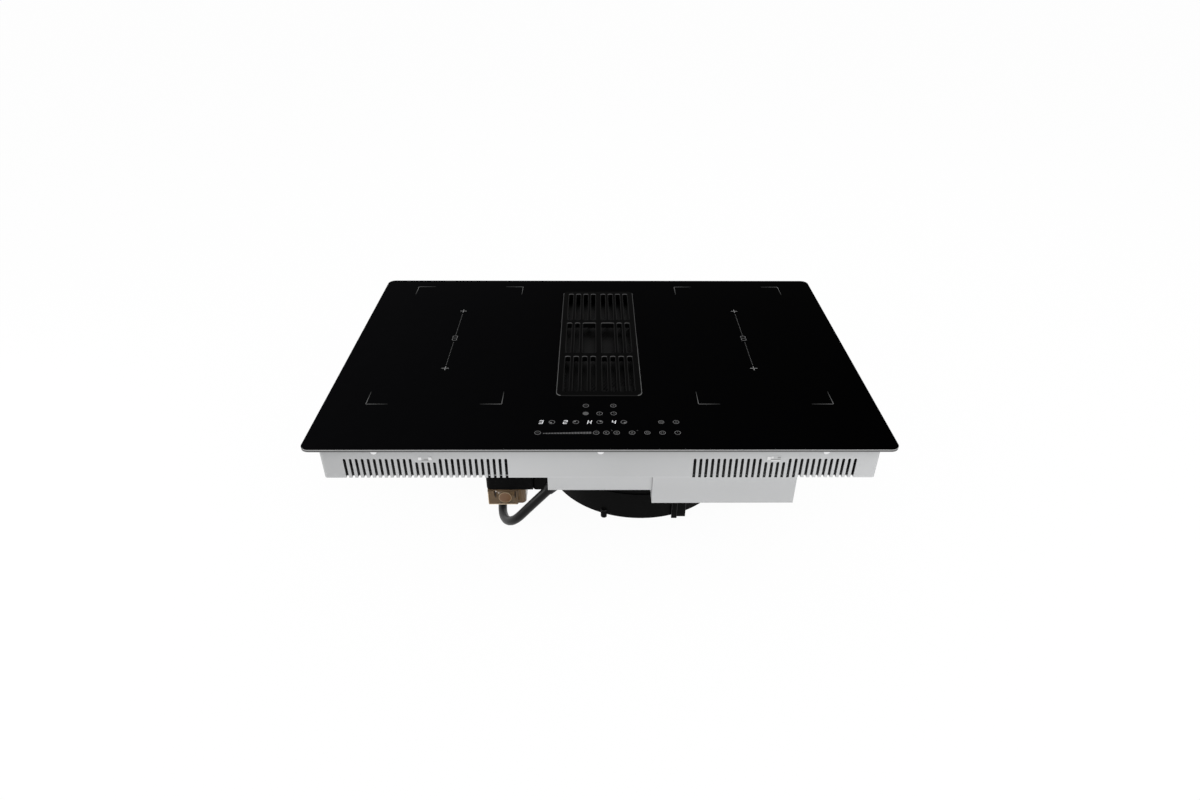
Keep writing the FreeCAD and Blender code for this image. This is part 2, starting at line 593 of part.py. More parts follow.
def fan_housing():
    """The scroll in two halves that meet at a rim, and the deck with its bell mouth."""
    lower = new_body("fan_housing_lower")
    lower_height = "drum_split_level - drum_floor_level"
    scroll_outline(lower, "pan", "drum_floor_level", "0", lower_height)
    scroll_outline(lower, "pan_room", "drum_floor_level + drum_wall", "drum_wall", lower_height)
    upper = new_body("fan_housing_upper")
    upper_height = "drum_top_level - drum_split_level"
    scroll_outline(upper, "shell", "drum_split_level", "0", upper_height,
                   "(drum_radius - drum_rim)")
    sketch = sketch_on(upper, "rim_outline", level="drum_split_level")
    circle(sketch, "drum_x", "drum_y", "drum_radius")
    pad(upper, sketch, "drum_rim_height", "rim")
    scroll_outline(upper, "shell_room", "drum_split_level", "(drum_wall + drum_rim)",
                   f"{upper_height} - drum_wall")
    sketch = sketch_on(upper, "bell_outline", level="wheel_top_level - 3")
    circle(sketch, "fan_x", "fan_y", "bell_radius + drum_wall")
    pad(upper, sketch, "drum_top_level - wheel_top_level + 3", "bell")
    round_opening(upper, "bell_mouth", "wheel_top_level - 4", "20", "fan_x", "fan_y",
                  "bell_radius")
    node(group("housing_feet", *housing_feet()), "housing_feet")


def housing_feet():
    """Pegs round the drum and under the outlet, and the latch at the front right."""
    feet = []
    for index in range(DIMENSIONS["foot_count"]):
        angle = math.radians(-90 + (index + 0.5) * 360 / DIMENSIONS["foot_count"])
        if math.sin(angle) > 0.5 or (math.sin(angle) > 0 and math.cos(angle) > 0):
            continue
        x = f"drum_x + drum_radius * {math.cos(angle):.6f}"
        y = f"drum_y + drum_radius * {math.sin(angle):.6f}"
        foot = (latch_column() if index == 0 else
                rod(f"foot_{index}", x, y, 0, "foot_radius", "foot_height"))
        inside = rod(foot.Name + "_trim", "drum_x", "drum_y", -1, "drum_radius",
                     "drum_top_level + 1")
        feet.append(cut(foot.Name + "_outside", foot, inside))
    for x in ("outlet_left + outlet_foot_side", "outlet_right - outlet_foot_side"):
        feet.append(rod(f"outlet_foot_{len(feet)}", x, "outlet_back - outlet_foot_back", 0,
                        "foot_radius", "drum_floor_level"))
    return feet


def latch_column():
    """A slim post with a shorter, set-back tab on its right."""
    top = "drum_split_level + drum_rim_height"
    post = span_block("latch_post", ("latch_left", "latch_front", "latch_low_level"),
                      ("latch_middle", "latch_back", top))
    tab = span_block("latch_tab",
                     ("latch_middle", "latch_front + latch_tab_recess", "latch_tab_level"),
                     ("latch_right", "latch_back", top))
    return fuse("latch_column", post, tab)


def outlet_spigot():
    """The flange and rectangular spigot that a flat duct slides onto."""
    width, x = span("outlet_left", "outlet_right")
    wall = "spigot_out_wall"
    flange = block("outlet_flange", x, "outlet_back + flange_thickness / 2", "drum_floor_level",
                   width, "flange_thickness", "drum_top_level - drum_floor_level")
    low = "outlet_level - spigot_out_height / 2"
    middle = "outlet_back + (flange_thickness + outlet_length) / 2"
    tube = block("outlet_tube", x, middle, low, "spigot_out_width",
                 "flange_thickness + outlet_length", "spigot_out_height")
    bore = block("outlet_bore", x, middle, f"{low} + {wall}", f"spigot_out_width - 2 * {wall}",
                 "flange_thickness + outlet_length + 2", f"spigot_out_height - 2 * {wall}")
    node(cut("outlet_spigot", fuse("outlet_body", flange, tube), bore), "outlet_spigot")


# ---------- radial fan and motor ----------
def fan_wheel(label, x, y, low, outer, inner, top, floor, ring, count, hub, cap=None):
    """A wheel with forward-leaning blades between its floor disc and its top ring."""
    disc = tube_solid(label + "_disc", x, y, low, outer, hub, floor)
    rim = tube_solid(label + "_ring", x, y, f"({top}) - {ring}", outer, inner, ring)
    blade = doc.addObject("Part::Box", label + "_blade")
    bind(blade, Length=f"({outer}) - ({inner}) - 3", Width="blade_thickness",
         Height=f"({top}) - ({low}) - {floor} - {ring} + 1")
    place(blade, f"({inner}) + 1", "-(blade_thickness) / 2", f"({low}) + {floor} - 0.5")
    blade.Placement.Rotation = FreeCAD.Rotation(UP, BLADE_LEAN)
    pieces = [disc, rim] + turned_copies(label + "_blade", blade, x, y, count)
    if cap:
        pieces.append(tube_solid(label + "_cap", x, y, low, f"({hub}) + 8", cap,
                                 f"{floor} + 6"))
    return node(fuse(label, *pieces), label)


def fan():
    fan_wheel("fan_wheel", "fan_x", "fan_y", "wheel_floor_level", "wheel_radius",
              "blade_inner_radius", "wheel_top_level - 3.5", "wheel_floor", "wheel_ring",
              DIMENSIONS["blade_count"], "shaft_radius")
    rotor = new_body("motor_rotor")
    cup_height = "wheel_floor_level - rotor_low_level"
    round_pad(rotor, "magnet_cup", "rotor_low_level", cup_height, "fan_x", "fan_y",
              "rotor_radius", "rotor_bore")
    round_pad(rotor, "cup_top", "wheel_floor_level - 2", "2", "fan_x", "fan_y",
              "rotor_radius", "shaft_radius")
    node(rod("fan_shaft", "fan_x", "fan_y", "shaft_low_level", "shaft_radius",
             "shaft_top_level - shaft_low_level"), "fan_shaft")
    stator = new_body("motor_stator")
    round_pad(stator, "windings", "stator_low_level", "stator_height", "fan_x", "fan_y",
              "stator_radius", "bearing_radius")
    round_pad(stator, "tube", "motor_plate_level + motor_plate_thickness",
              "stator_low_level - motor_plate_level - motor_plate_thickness + stator_height",
              "fan_x", "fan_y", "bearing_radius + 3", "bearing_radius")
    bearings = [tube_solid(f"bearing_{level}", "fan_x", "fan_y", level, "bearing_radius",
                           "shaft_radius + running_gap", "bearing_height")
                for level in ("bearing_low_level", "bearing_high_level")]
    node(group("motor_bearings", *bearings), "motor_bearings")
    base = new_body("motor_plate")
    round_pad(base, "disc", "motor_plate_level", "motor_plate_thickness", "fan_x", "fan_y",
              "motor_plate_radius", "shaft_radius + 2")
    dampers = []
    for index in range(3):
        angle = math.radians(90 + index * 120)
        x = f"fan_x + damper_circle * {math.cos(angle):.6f}"
        y = f"fan_y + damper_circle * {math.sin(angle):.6f}"
        dampers.append(rod(f"damper_{index}", x, y, "drum_floor_level + drum_wall",
                           "damper_radius", "motor_plate_level - drum_floor_level - drum_wall"))
    node(group("motor_dampers", *dampers), "motor_dampers")


def round_pad(body, name, level, height, x, y, outer, inner):
    sketch = sketch_on(body, name + "_outline", level=level)
    circle(sketch, x, y, outer)
    circle(sketch, x, y, inner)
    return pad(body, sketch, height, name)


def tube_solid(name, x, y, z, outer, inner, height):
    return cut(name, rod(name + "_outer", x, y, z, outer, height),
               rod(name + "_inner", x, y, f"({z}) - 1", inner, f"({height}) + 2"))


# ---------- induction coils ----------
def coils():
    """Four flat coils in pairs, each on a former with ferrite bars beneath it."""
    places = {"front_left": (-1, "coil_front_y"), "back_left": (-1, "coil_back_y"),
              "front_right": (1, "coil_front_y"), "back_right": (1, "coil_back_y")}
    ferrites, sheets, sensors, springs = [], [], [], []
    for word, (side, y) in places.items():
        x = f"{side} * coil_x"
        winding = new_body(f"coil_winding_{word}")
        sketch = sketch_on(winding, "turns_outline", level="coil_low_level")
        rectangle(sketch, x, y, "coil_width", "coil_length", "coil_corner")
        rectangle(sketch, x, y, "coil_hole", "coil_hole", "coil_hole * 0.42")
        pad(winding, sketch, "coil_thickness", "turns")
        former = new_body(f"coil_former_{word}")
        sketch = sketch_on(former, "former_outline", level="former_level")
        rectangle(sketch, x, y, "coil_width + 3", "coil_length + 3", "coil_corner + 1")
        circle(sketch, x, y, "sensor_radius + 2")
        pad(former, sketch, "former_thickness", "former")
        bar = block(f"ferrite_bar_{word}", 0, "(coil_hole + ferrite_length) / 2 + 4",
                    "ferrite_level", "ferrite_width", "ferrite_length", "ferrite_thickness")
        ferrites += turned_copies(f"ferrite_{word}", bar, x, y, DIMENSIONS["ferrite_count"])
        sheets.append(block(f"mica_{word}", x, y, "sheet_mica_level", "coil_width - 6",
                            "coil_length - 6", "sheet_mica_thickness"))
        sensors.append(rod(f"sensor_{word}", x, y, "ferrite_level", "sensor_radius",
                           "sheet_mica_level - ferrite_level"))
        for dx in (-1, 1):
            for dy in (-1, 1):
                springs.append(rod(f"spring_{word}_{dx}_{dy}", f"{x} + {dx} * coil_spring_offset",
                                   f"{y} + {dy} * coil_spring_offset",
                                   "plate_level + plate_thickness", "coil_spring_radius",
                                   "former_level - plate_level - plate_thickness"))
    node(group("coil_ferrites", *ferrites), "coil_ferrites")
    node(group("coil_mica_sheets", *sheets), "coil_mica_sheets")
    node(group("coil_sensors", *sensors), "coil_sensors")
    node(group("coil_springs", *springs), "coil_springs")


def turned_copies(name, piece, x, y, count):
    """Copies of a piece turned round the vertical axis through x and y."""
    copies = []
    for index in range(count):
        link = doc.addObject("Part::Compound", f"{name}_{index}")
        link.Links = [piece]
        turn = 360 * index / count
        link.Placement.Rotation = FreeCAD.Rotation(UP, turn)
        place(link, x, y)
        copies.append(link)
    return copies


# ---------- power boards, blowers, control board ----------
def power_side(side):
    word = "left" if side < 0 else "right"
    plate_x = f"{side} * (tray_width / 2 - tray_wall - 6 - plate_width / 2)"
    node(block(f"carrier_plate_{word}", plate_x, "plate_y", "plate_level", "plate_width",
               "plate_length", "plate_thickness"), f"carrier_plate_{word}")
    board = block(f"board_{word}", f"{side} * board_x", "board_y", "board_level", "board_width",
                  "board_length", "board_thickness")
    foot = "tray_floor_level + tray_wall"
    legs = [rod(f"standoff_{word}_{dx}_{dy}",
                f"{side} * board_x + {dx} * (board_width / 2 - standoff_inset)",
                f"board_y + {dy} * (board_length / 2 - standoff_inset)", foot,
                "standoff_radius", f"board_level - ({foot})")
            for dx in (-1, 1) for dy in (-1, 1)]
    node(fuse(f"power_board_{word}", board, *legs), f"power_board_{word}")
    top = "board_level + board_thickness"
    sink = block(f"sink_base_{word}", f"{side} * sink_x", "sink_y", top, "sink_width",
                 "sink_length", "3")
    fins = []
    for index in range(DIMENSIONS["sink_fins"]):
        share = index / (DIMENSIONS["sink_fins"] - 1) - 0.5
        fins.append(block(f"fin_{word}_{index}",
                          f"{side} * sink_x + {share} * (sink_width - sink_fin)", "sink_y", top,
                          "sink_fin", "sink_length", "sink_height"))
    node(fuse(f"heat_sink_{word}", sink, *fins), f"heat_sink_{word}")
    parts = []
    for index in range(3):
        y = f"board_y - board_length / 2 + capacitor_first + {index} * capacitor_pitch"
        parts.append(rod(f"capacitor_{word}_{index}",
                         f"{side} * (board_x - capacitor_offset) - capacitor_length / 2", y,
                         f"{top} + capacitor_radius", "capacitor_radius - 1",
                         "capacitor_length", "x"))
    parts.append(tube_solid(f"choke_{word}", f"{side} * (board_x - choke_offset)",
                            "board_y + board_length / 2 - choke_inset", top, "choke_radius",
                            "choke_radius / 2", "choke_height"))
    return parts


def blower(side):
    """A small radial blower on the tray floor that draws through the floor's holes."""
    word = "left" if side < 0 else "right"
    x, wall = f"{side} * blower_x", "blower_wall"
    floor = "tray_floor_level + tray_wall"
    body = new_body(f"blower_housing_{word}")
    sketch = sketch_on(body, "shell_outline", level=floor)
    circle(sketch, x, "blower_y", "blower_radius")
    pad(body, sketch, "blower_height", "shell")
    sketch = sketch_on(body, "throat_outline", level=floor)
    rectangle(sketch, f"{side} * (blower_x + throat_x)", "blower_y - throat_y",
              "throat_length", "throat_width")
    pad(body, sketch, "blower_height", "throat")
    round_opening(body, "room", f"{floor} - 1", f"blower_height + 1 - {wall}", x, "blower_y",
                  f"blower_radius - {wall}")
    opening(body, "throat_room", f"{floor} - 1", f"blower_height + 1 - {wall}",
            f"{side} * (blower_x + throat_x + 2)", "blower_y - throat_y",
            "throat_length + 2", f"throat_width - 2 * {wall}")
    fan_wheel(f"blower_wheel_{word}", x, "blower_y", f"{floor} + 2.5", "blower_wheel_radius",
              "blower_wheel_radius - 8", f"{floor} + blower_height - {wall} - 2", "1.5", "1.5",
              DIMENSIONS["blower_blades"], "2.5", "2")


def control_board():
    """The touch board under the glass, with a spring pad for each touch mark."""
    node(block("touch_board", "control_x", "control_y", "control_level", "control_width",
               "control_depth", "control_thickness"), "touch_board")
    holder = block("holder_tray", "control_x", "control_y", "holder_level",
                   "control_width + 6", "control_depth + 6", "control_level - holder_level")
    room = block("holder_room", "control_x", "control_y", "holder_level + 2",
                 "control_width - 6", "control_depth - 6", "control_level - holder_level")
    node(cut("board_holder", holder, room), "board_holder")
    level = "control_level + control_thickness"
    length = "glass_top_level - glass_thickness - control_level - control_thickness - 0.2"
    springs = []
    rows = {-223: (-82.8, -5.8, 7.6, 20.6, 41.6, 61.6, 81.6, 101.6), -198.4: (81.6, 101.6),
            -177.8: (-20, -1, 18.2), -158.6: (-20, 18.2)}
    for y, places in rows.items():
        for x in places:
            springs.append(rod(f"pad_spring_{len(springs)}", x, y, level, "pad_spring_radius",
                               length))
    node(group("touch_springs", *springs), "touch_springs")
    displays = [block(f"display_{x}", x, -198.4, level, "display_width", "display_depth", length)
                for x in (-79.6, -47.2, -14.6, 18)]
    node(group("display_modules", *displays), "display_modules")


# ---------- boxes under the tray ----------
def under_box(label, low, high):
    """A folded box, open at the top where it is screwed to the tray's floor."""
    wall = "box_wall"
    shell = span_block(label + "_shell", low, high)
    inside = [f"{edge} + {wall}" for edge in low]
    room = span_block(label + "_room", inside,
                      [f"{high[0]} - {wall}", f"{high[1]} - {wall}", f"{high[2]} + 1"])
    return cut(label, shell, room)


def boxes():
    terminal = under_box("terminal_box_body",
                         ("terminal_left", "terminal_front", "terminal_low_level"),
                         ("terminal_right", "terminal_back", "tray_floor_level"))
    hole = rod("cord_hole", cord_exit[0], cord_exit[1], "terminal_low_level - 1",
               "cord_hole_radius", "box_wall + 2")
    node(cut("terminal_box", terminal, hole), "terminal_box")
    node(under_box("driver_box", ("terminal_right + driver_gap", "driver_front",
                                  "driver_low_level"),
                   ("driver_right", "terminal_back", "tray_floor_level")), "driver_box")
    floor = "driver_low_level + box_wall"
    board = block("driver_board_sheet", "driver_board_x", "driver_board_y",
                  f"{floor} + driver_leg_height", "driver_board_width", "driver_board_depth",
                  "board_thickness")
    legs = [rod(f"driver_leg_{x}", x, "driver_board_y", floor, "driver_leg_radius",
                "driver_leg_height") for x in (95, 240)]
    chokes = [block(f"driver_part_{x}", x, "driver_board_y",
                    f"{floor} + driver_leg_height + board_thickness", "driver_part_width",
                    "driver_part_depth", "driver_part_height") for x in (110, 150, 190, 230)]
    node(fuse("driver_board", board, *legs, *chokes), "driver_board")
    floor = "terminal_low_level + box_wall"
    ways = [block(f"terminal_way_{index}", f"way_first_x + {index} * way_pitch", "way_y", floor,
                  "way_width", "way_depth", "way_height") for index in range(6)]
    base = block("terminal_base", "way_base_x", "way_y", floor, "way_base_width",
                 "way_base_depth", "way_base_height")
    node(fuse("terminal_block", base, *ways), "terminal_block")


# ---------- mains cord ----------
FLOOR = 6.9
ROUTE = [(-71.4, -220.6, 112.1), (-98, -213.5, 76.5), (-128, -203, 33), (-149, -160, FLOOR),
         (-153, -100, FLOOR), (-147, -34, FLOOR), (-157, 36, FLOOR), (-155.4, 104, FLOOR)]
cord_exit = (-59.6, -223.7)
SHEATH_END = (-294.5, 125.2, FLOOR)
CORE_HEADING = math.radians(285)


def cord_wire():
    """Straight runs joined by arcs that touch both runs."""
    points = [FreeCAD.Vector(*point) for point in ROUTE]
    edges, start = [], points[0]
    for before, corner, after in zip(points, points[1:], points[2:]):
        back, ahead = (before - corner), (after - corner)
        half_turn = (math.pi - back.getAngle(ahead)) / 2
        reach = 0.45 * min(back.Length, ahead.Length)
        radius = reach / math.tan(half_turn)
        entry = corner + back.normalize() * reach
        leave = corner + ahead.normalize() * reach
        inward = (back + ahead).normalize()
        centre = corner + inward * (radius / math.cos(half_turn))
        middle = centre - inward * radius
        edges += [Part.LineSegment(start, entry).toShape(),
                  Part.Arc(entry, middle, leave).toShape()]
        start = leave
        print(f"cord bend at {tuple(corner)}: radius {radius:.0f} mm")
    edges.append(Part.LineSegment(start, points[-1]).toShape())
    return Part.Wire(edges)


def cord():
    """The cord from its boot to the coil, the coil's outer shape, its tie and its cores."""
    radius = value_of("cord_diameter") / 2
    wire = cord_wire()
    first = FreeCAD.Vector(*ROUTE[1]) - FreeCAD.Vector(*ROUTE[0])
    section = Part.Wire(Part.Circle(FreeCAD.Vector(*ROUTE[0]), first, radius).toShape())
    tube = doc.addObject("Part::Feature", "power_cord")
    tube.Shape = wire.makePipeShell([section], True, False)
    expected = math.pi * radius ** 2 * wire.Length
    print(f"cord: {wire.Length:.0f} mm, volume {tube.Shape.Volume / expected:.4f} of expected")
    node(tube, "power_cord")

    direction = first.normalize()
    collar = rod("boot_collar_disc", cord_exit[0], cord_exit[1],
                 "terminal_low_level - boot_collar", "boot_collar_radius", "boot_collar")
    neck = rod("boot_neck", cord_exit[0], cord_exit[1], "terminal_low_level - 1",
               "cord_hole_radius - 0.1", "box_wall + 4")
    taper = doc.addObject("Part::Cone", "boot_taper")
    tip = FreeCAD.Vector(*ROUTE[0])
    length = value_of("boot_length")
    bind(taper, Radius1="cord_hole_radius", Radius2="cord_diameter / 2 + 1.4",
         Height="boot_length")
    taper.Placement = FreeCAD.Placement(tip - direction * length,
                                        FreeCAD.Rotation(UP, direction))
    trim = block("boot_trim", cord_exit[0], cord_exit[1], "terminal_low_level", 60, 60, 40)
    node(fuse("cord_boot", collar, neck, cut("boot_cone", taper, trim)), "cord_boot")

    inner = "coil_outer_radius - 3 * cord_diameter"
    node(tube_solid("power_cord_coil", "coil_centre_x", "coil_centre_y",
                    f"{FLOOR} - cord_diameter / 2", "coil_outer_radius + cord_diameter / 2",
                    inner, "cord_diameter"), "power_cord_coil")
    turns_width = "(3.5 * cord_diameter + 1)"
    tie_y = "coil_centre_y + coil_outer_radius - 1.25 * cord_diameter"
    outer = block("tie_outer", "coil_centre_x", tie_y, 0.05, "tie_width",
                  f"{turns_width} + 2 * tie_thickness", "cord_diameter + 1.2")
    loop = block("tie_loop", "coil_centre_x", tie_y, 0.65, "tie_width + 2", turns_width,
                 "cord_diameter")
    node(cut("cord_tie", outer, loop), "cord_tie")

    cores = []
    lead = FreeCAD.Vector(math.cos(CORE_HEADING), math.sin(CORE_HEADING), 0)
    side = UP.cross(lead)
    for index in range(DIMENSIONS["core_count"]):
        angle = 2 * math.pi * index / DIMENSIONS["core_count"] + math.pi / 2
        ring = value_of("core_circle")
        start = (FreeCAD.Vector(*SHEATH_END) + side * (ring * math.cos(angle))
                 + UP * (ring * math.sin(angle)))
        for name, radius, low, length in (("core", "core_radius", 0, "core_length"),
                                          ("ferrule", "ferrule_radius", "core_length",
                                           "ferrule_length")):
            piece = doc.addObject("Part::Cylinder", f"{name}_{index}")
            bind(piece, Radius=radius, Height=length)
            piece.Placement = FreeCAD.Placement(start + lead * value_of(low),
                                                FreeCAD.Rotation(UP, lead))
            cores.append(piece)
    node(fuse("cord_cores", *cores), "cord_cores")


# ---------- build and export ----------
glass_top()
edge_seal()
glass_bond()
tray()
tray_screws()
inlet_duct()
grille()
grease_filter()
air_chamber()
collector()
cup_seal()
condensate_cup()
fan_housing()
outlet_spigot()
fan()
coils()
board_parts = []
for side in (-1, 1):
    board_parts += power_side(side)
    blower(side)
node(group("board_components", *board_parts), "board_components")
control_board()
boxes()
cord()
doc.recompute()

broken = [thing.Label for thing in doc.Objects
          if "Invalid" in thing.State or "Error" in thing.State]
broken += [thing.Label for thing in nodes if thing.Shape.isNull() or not thing.Shape.isValid()]
if broken:
    raise RuntimeError(f"these did not build: {', '.join(broken)}")

os.makedirs("parts", exist_ok=True)
for thing in nodes:
    thing.Shape.exportStep(f"parts/{thing.Label}.step")
    solids = len(thing.Shape.Solids)
    print(f"{thing.Label}: {solids} solid{'s' if solids > 1 else ''},"
          f" {thing.Shape.Volume / 1000:.1f} cm3")
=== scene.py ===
import bpy
import bmesh
import math
from mathutils import Matrix, Vector


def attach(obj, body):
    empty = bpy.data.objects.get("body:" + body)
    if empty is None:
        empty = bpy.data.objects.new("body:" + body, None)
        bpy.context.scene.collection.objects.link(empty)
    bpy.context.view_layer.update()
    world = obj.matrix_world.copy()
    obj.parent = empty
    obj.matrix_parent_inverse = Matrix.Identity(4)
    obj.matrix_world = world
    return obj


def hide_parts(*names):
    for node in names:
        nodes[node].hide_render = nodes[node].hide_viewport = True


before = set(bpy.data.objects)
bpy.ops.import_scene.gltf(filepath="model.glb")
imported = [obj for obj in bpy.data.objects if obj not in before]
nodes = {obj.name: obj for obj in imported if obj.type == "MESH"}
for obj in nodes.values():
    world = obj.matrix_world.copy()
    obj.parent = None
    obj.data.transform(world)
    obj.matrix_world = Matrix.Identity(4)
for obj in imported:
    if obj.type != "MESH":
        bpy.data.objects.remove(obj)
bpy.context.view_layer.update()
bpy.context.scene.view_settings.view_transform = "Standard"
mm = 0.001
print("frame loaded:", len(nodes), "nodes")


# camera, lamps and floor
camera = {
    "place": (-9.1, -1037.8, 792.4),
    "lens": 22.81,
    "pitch": 33.09,  # degrees below the horizon
    "yaw": 0.57,
    "roll": 0.31,
}


def setCamera():
    pitch, yaw, roll = (math.radians(camera[k]) for k in ("pitch", "yaw", "roll"))
    ahead = Vector((math.sin(yaw) * math.cos(pitch), math.cos(yaw) * math.cos(pitch), -math.sin(pitch)))
    right = Vector((math.cos(yaw), -math.sin(yaw), 0))
    up = right.cross(ahead)
    side = right * math.cos(roll) + up * math.sin(roll)
    top = up * math.cos(roll) - right * math.sin(roll)
    data = bpy.data.cameras.new("photoCamera")
    data.sensor_fit = "HORIZONTAL"
    data.sensor_width = 36
    data.lens = camera["lens"]
    data.clip_start = 0.02
    eye = bpy.data.objects.new("photoCamera", data)
    bpy.context.collection.objects.link(eye)
    turn = Matrix((side, top, -ahead)).transposed().to_4x4()
    eye.matrix_world = Matrix.Translation(Vector(camera["place"]) * mm) @ turn
    bpy.context.scene.camera = eye


lamps = {
    "keyRight": {"place": (1.6, -1.6, 1.2), "size": 1.6, "power": 31, "inGloss": False},
    "fillLeft": {"place": (-1.3, -1.5, 1.3), "size": 0.7, "power": 7, "inGloss": False},
    "lowLeft": {"place": (-1.5, -0.35, 0.2), "size": 0.35, "power": 9, "inGloss": True},
    "topBack": {"place": (0.2, 1.4, 2.0), "size": 2.0, "power": 8, "inGloss": False},
}


def setLamps():
    for name, lamp in lamps.items():
        data = bpy.data.lights.new(name, "AREA")
        data.size = lamp["size"]
        data.energy = lamp["power"]
        thing = bpy.data.objects.new(name, data)
        bpy.context.collection.objects.link(thing)
        thing.location = lamp["place"]
        thing.visible_glossy = lamp["inGloss"]  # else only the pale room shows in the gloss
        aim = Vector((0, 0, 0.15)) - thing.location
        thing.rotation_euler = aim.to_track_quat("-Z", "Y").to_euler()


studio = {"floorSize": 60, "floorShade": 0.86, "worldLight": 0.76, "shadowShare": 0.04}


def seenDirectly(tree):
    path = tree.nodes.new("ShaderNodeLightPath")
    first = tree.nodes.new("ShaderNodeMath")
    first.operation = "MAXIMUM"
    second = tree.nodes.new("ShaderNodeMath")
    second.operation = "MAXIMUM"
    tree.links.new(path.outputs["Is Camera Ray"], first.inputs[0])
    tree.links.new(path.outputs["Is Glossy Ray"], first.inputs[1])
    tree.links.new(first.outputs[0], second.inputs[0])
    tree.links.new(path.outputs["Is Transmission Ray"], second.inputs[1])
    return second.outputs[0]


def setStudio():
    world = bpy.data.worlds.new("paleStudio")
    bpy.context.scene.world = world
    world.use_nodes = True
    tree = world.node_tree
    sky = tree.nodes["Background"]
    sky.inputs["Color"].default_value = (1, 1, 1, 1)
    strength = tree.nodes.new("ShaderNodeMapRange")
    strength.inputs["To Min"].default_value = studio["worldLight"]
    strength.inputs["To Max"].default_value = 1
    tree.links.new(seenDirectly(tree), strength.inputs["Value"])
    tree.links.new(strength.outputs["Result"], sky.inputs["Strength"])

    bm = bmesh.new()
    bmesh.ops.create_grid(bm, x_segments=1, y_segments=1, size=studio["floorSize"] / 2)
    floor = newPiece("studioFloor", bm)
    material = bpy.data.materials.new("paleFloor")
    material.use_nodes = True
    tree = material.node_tree
    shader = tree.nodes["Principled BSDF"]
    shader.inputs["Base Color"].default_value = (studio["floorShade"],) * 3 + (1,)
    shader.inputs["Roughness"].default_value = 0.9
    shader.inputs["Specular IOR Level"].default_value = 0.0
    white = tree.nodes.new("ShaderNodeEmission")
    mix = tree.nodes.new("ShaderNodeMixShader")
    share = tree.nodes.new("ShaderNodeMath")
    share.operation = "MULTIPLY"
    share.inputs[1].default_value = 1 - studio["shadowShare"]
    tree.links.new(seenDirectly(tree), share.inputs[0])
    tree.links.new(share.outputs[0], mix.inputs[0])
    tree.links.new(shader.outputs[0], mix.inputs[1])
    tree.links.new(white.outputs[0], mix.inputs[2])
    tree.links.new(mix.outputs[0], tree.nodes["Material Output"].inputs["Surface"])
    floor.data.materials.append(material)


# pieces
def newPiece(name, bm, finish=None, smooth=None):
    mesh = bpy.data.meshes.new(name)
    bm.to_mesh(mesh)
    bm.free()
    piece = bpy.data.objects.new(name, mesh)
    bpy.context.collection.objects.link(piece)
    if finish:
        mesh.materials.append(finish)
    if smooth:
        mesh.shade_smooth()
        mesh.set_sharp_from_angle(angle=math.radians(smooth))
    return piece


def bevelEdges(bm, edges, offset, segments):
    return bmesh.ops.bevel(bm, geom=edges, offset=offset, offset_type="OFFSET", affect="EDGES",
                           segments=segments, profile=0.5, material=-1)


# finishes
def finish(name, color, rough, metal=0.0, specular=0.5, tint=0.12, tintScale=60, grainScale=900,
           grain=0.0, roughSpread=0.08, stretch=(1, 1, 1), **extra):
    material = bpy.data.materials.new(name)
    material.use_nodes = True
    tree = material.node_tree
    shader = tree.nodes["Principled BSDF"]
    for socket, value in (("Metallic", metal), ("Specular IOR Level", specular), *extra.items()):
        shader.inputs[socket].default_value = value
    coords = tree.nodes.new("ShaderNodeTexCoord")
    mapping = tree.nodes.new("ShaderNodeMapping")
    mapping.inputs["Scale"].default_value = stretch
    tree.links.new(coords.outputs["Object"], mapping.inputs["Vector"])
    cloud = tree.nodes.new("ShaderNodeTexNoise")
    cloud.inputs["Scale"].default_value = tintScale
    cloud.inputs["Detail"].default_value = 4
    tree.links.new(mapping.outputs["Vector"], cloud.inputs["Vector"])
    shade = tree.nodes.new("ShaderNodeMix")
    shade.data_type = "RGBA"
    shade.inputs[6].default_value = tuple(c * (1 - tint) for c in color) + (1,)
    shade.inputs[7].default_value = tuple(min(1, c * (1 + tint)) for c in color) + (1,)
    tree.links.new(cloud.outputs["Fac"], shade.inputs["Factor"])
    tree.links.new(shade.outputs[2], shader.inputs["Base Color"])
    gloss = tree.nodes.new("ShaderNodeMapRange")
    gloss.inputs["To Min"].default_value = max(0.02, rough - roughSpread)
    gloss.inputs["To Max"].default_value = min(1, rough + roughSpread)
    tree.links.new(cloud.outputs["Fac"], gloss.inputs["Value"])
    tree.links.new(gloss.outputs["Result"], shader.inputs["Roughness"])
    if grain:
        fine = tree.nodes.new("ShaderNodeTexNoise")
        fine.inputs["Scale"].default_value = grainScale
        fine.inputs["Detail"].default_value = 3
        tree.links.new(mapping.outputs["Vector"], fine.inputs["Vector"])
        bump = tree.nodes.new("ShaderNodeBump")
        bump.inputs["Strength"].default_value = grain
        bump.inputs["Distance"].default_value = 0.0002
        tree.links.new(fine.outputs["Fac"], bump.inputs["Height"])
        tree.links.new(bump.outputs["Normal"], shader.inputs["Normal"])
    return material


def tintBy(material, factor, source):  # mixes the colour source over the base, or multiplies it in
    tree = material.node_tree
    shader = tree.nodes["Principled BSDF"]
    mix = tree.nodes.new("ShaderNodeMix")
    mix.data_type = "RGBA"
    tree.links.new(shader.inputs["Base Color"].links[0].from_socket, mix.inputs[6])
    tree.links.new(source, mix.inputs[7])
    if factor:
        tree.links.new(factor, mix.inputs["Factor"])
    else:
        mix.blend_type = "MULTIPLY"
        mix.inputs["Factor"].default_value = 1
    tree.links.new(mix.outputs[2], shader.inputs["Base Color"])


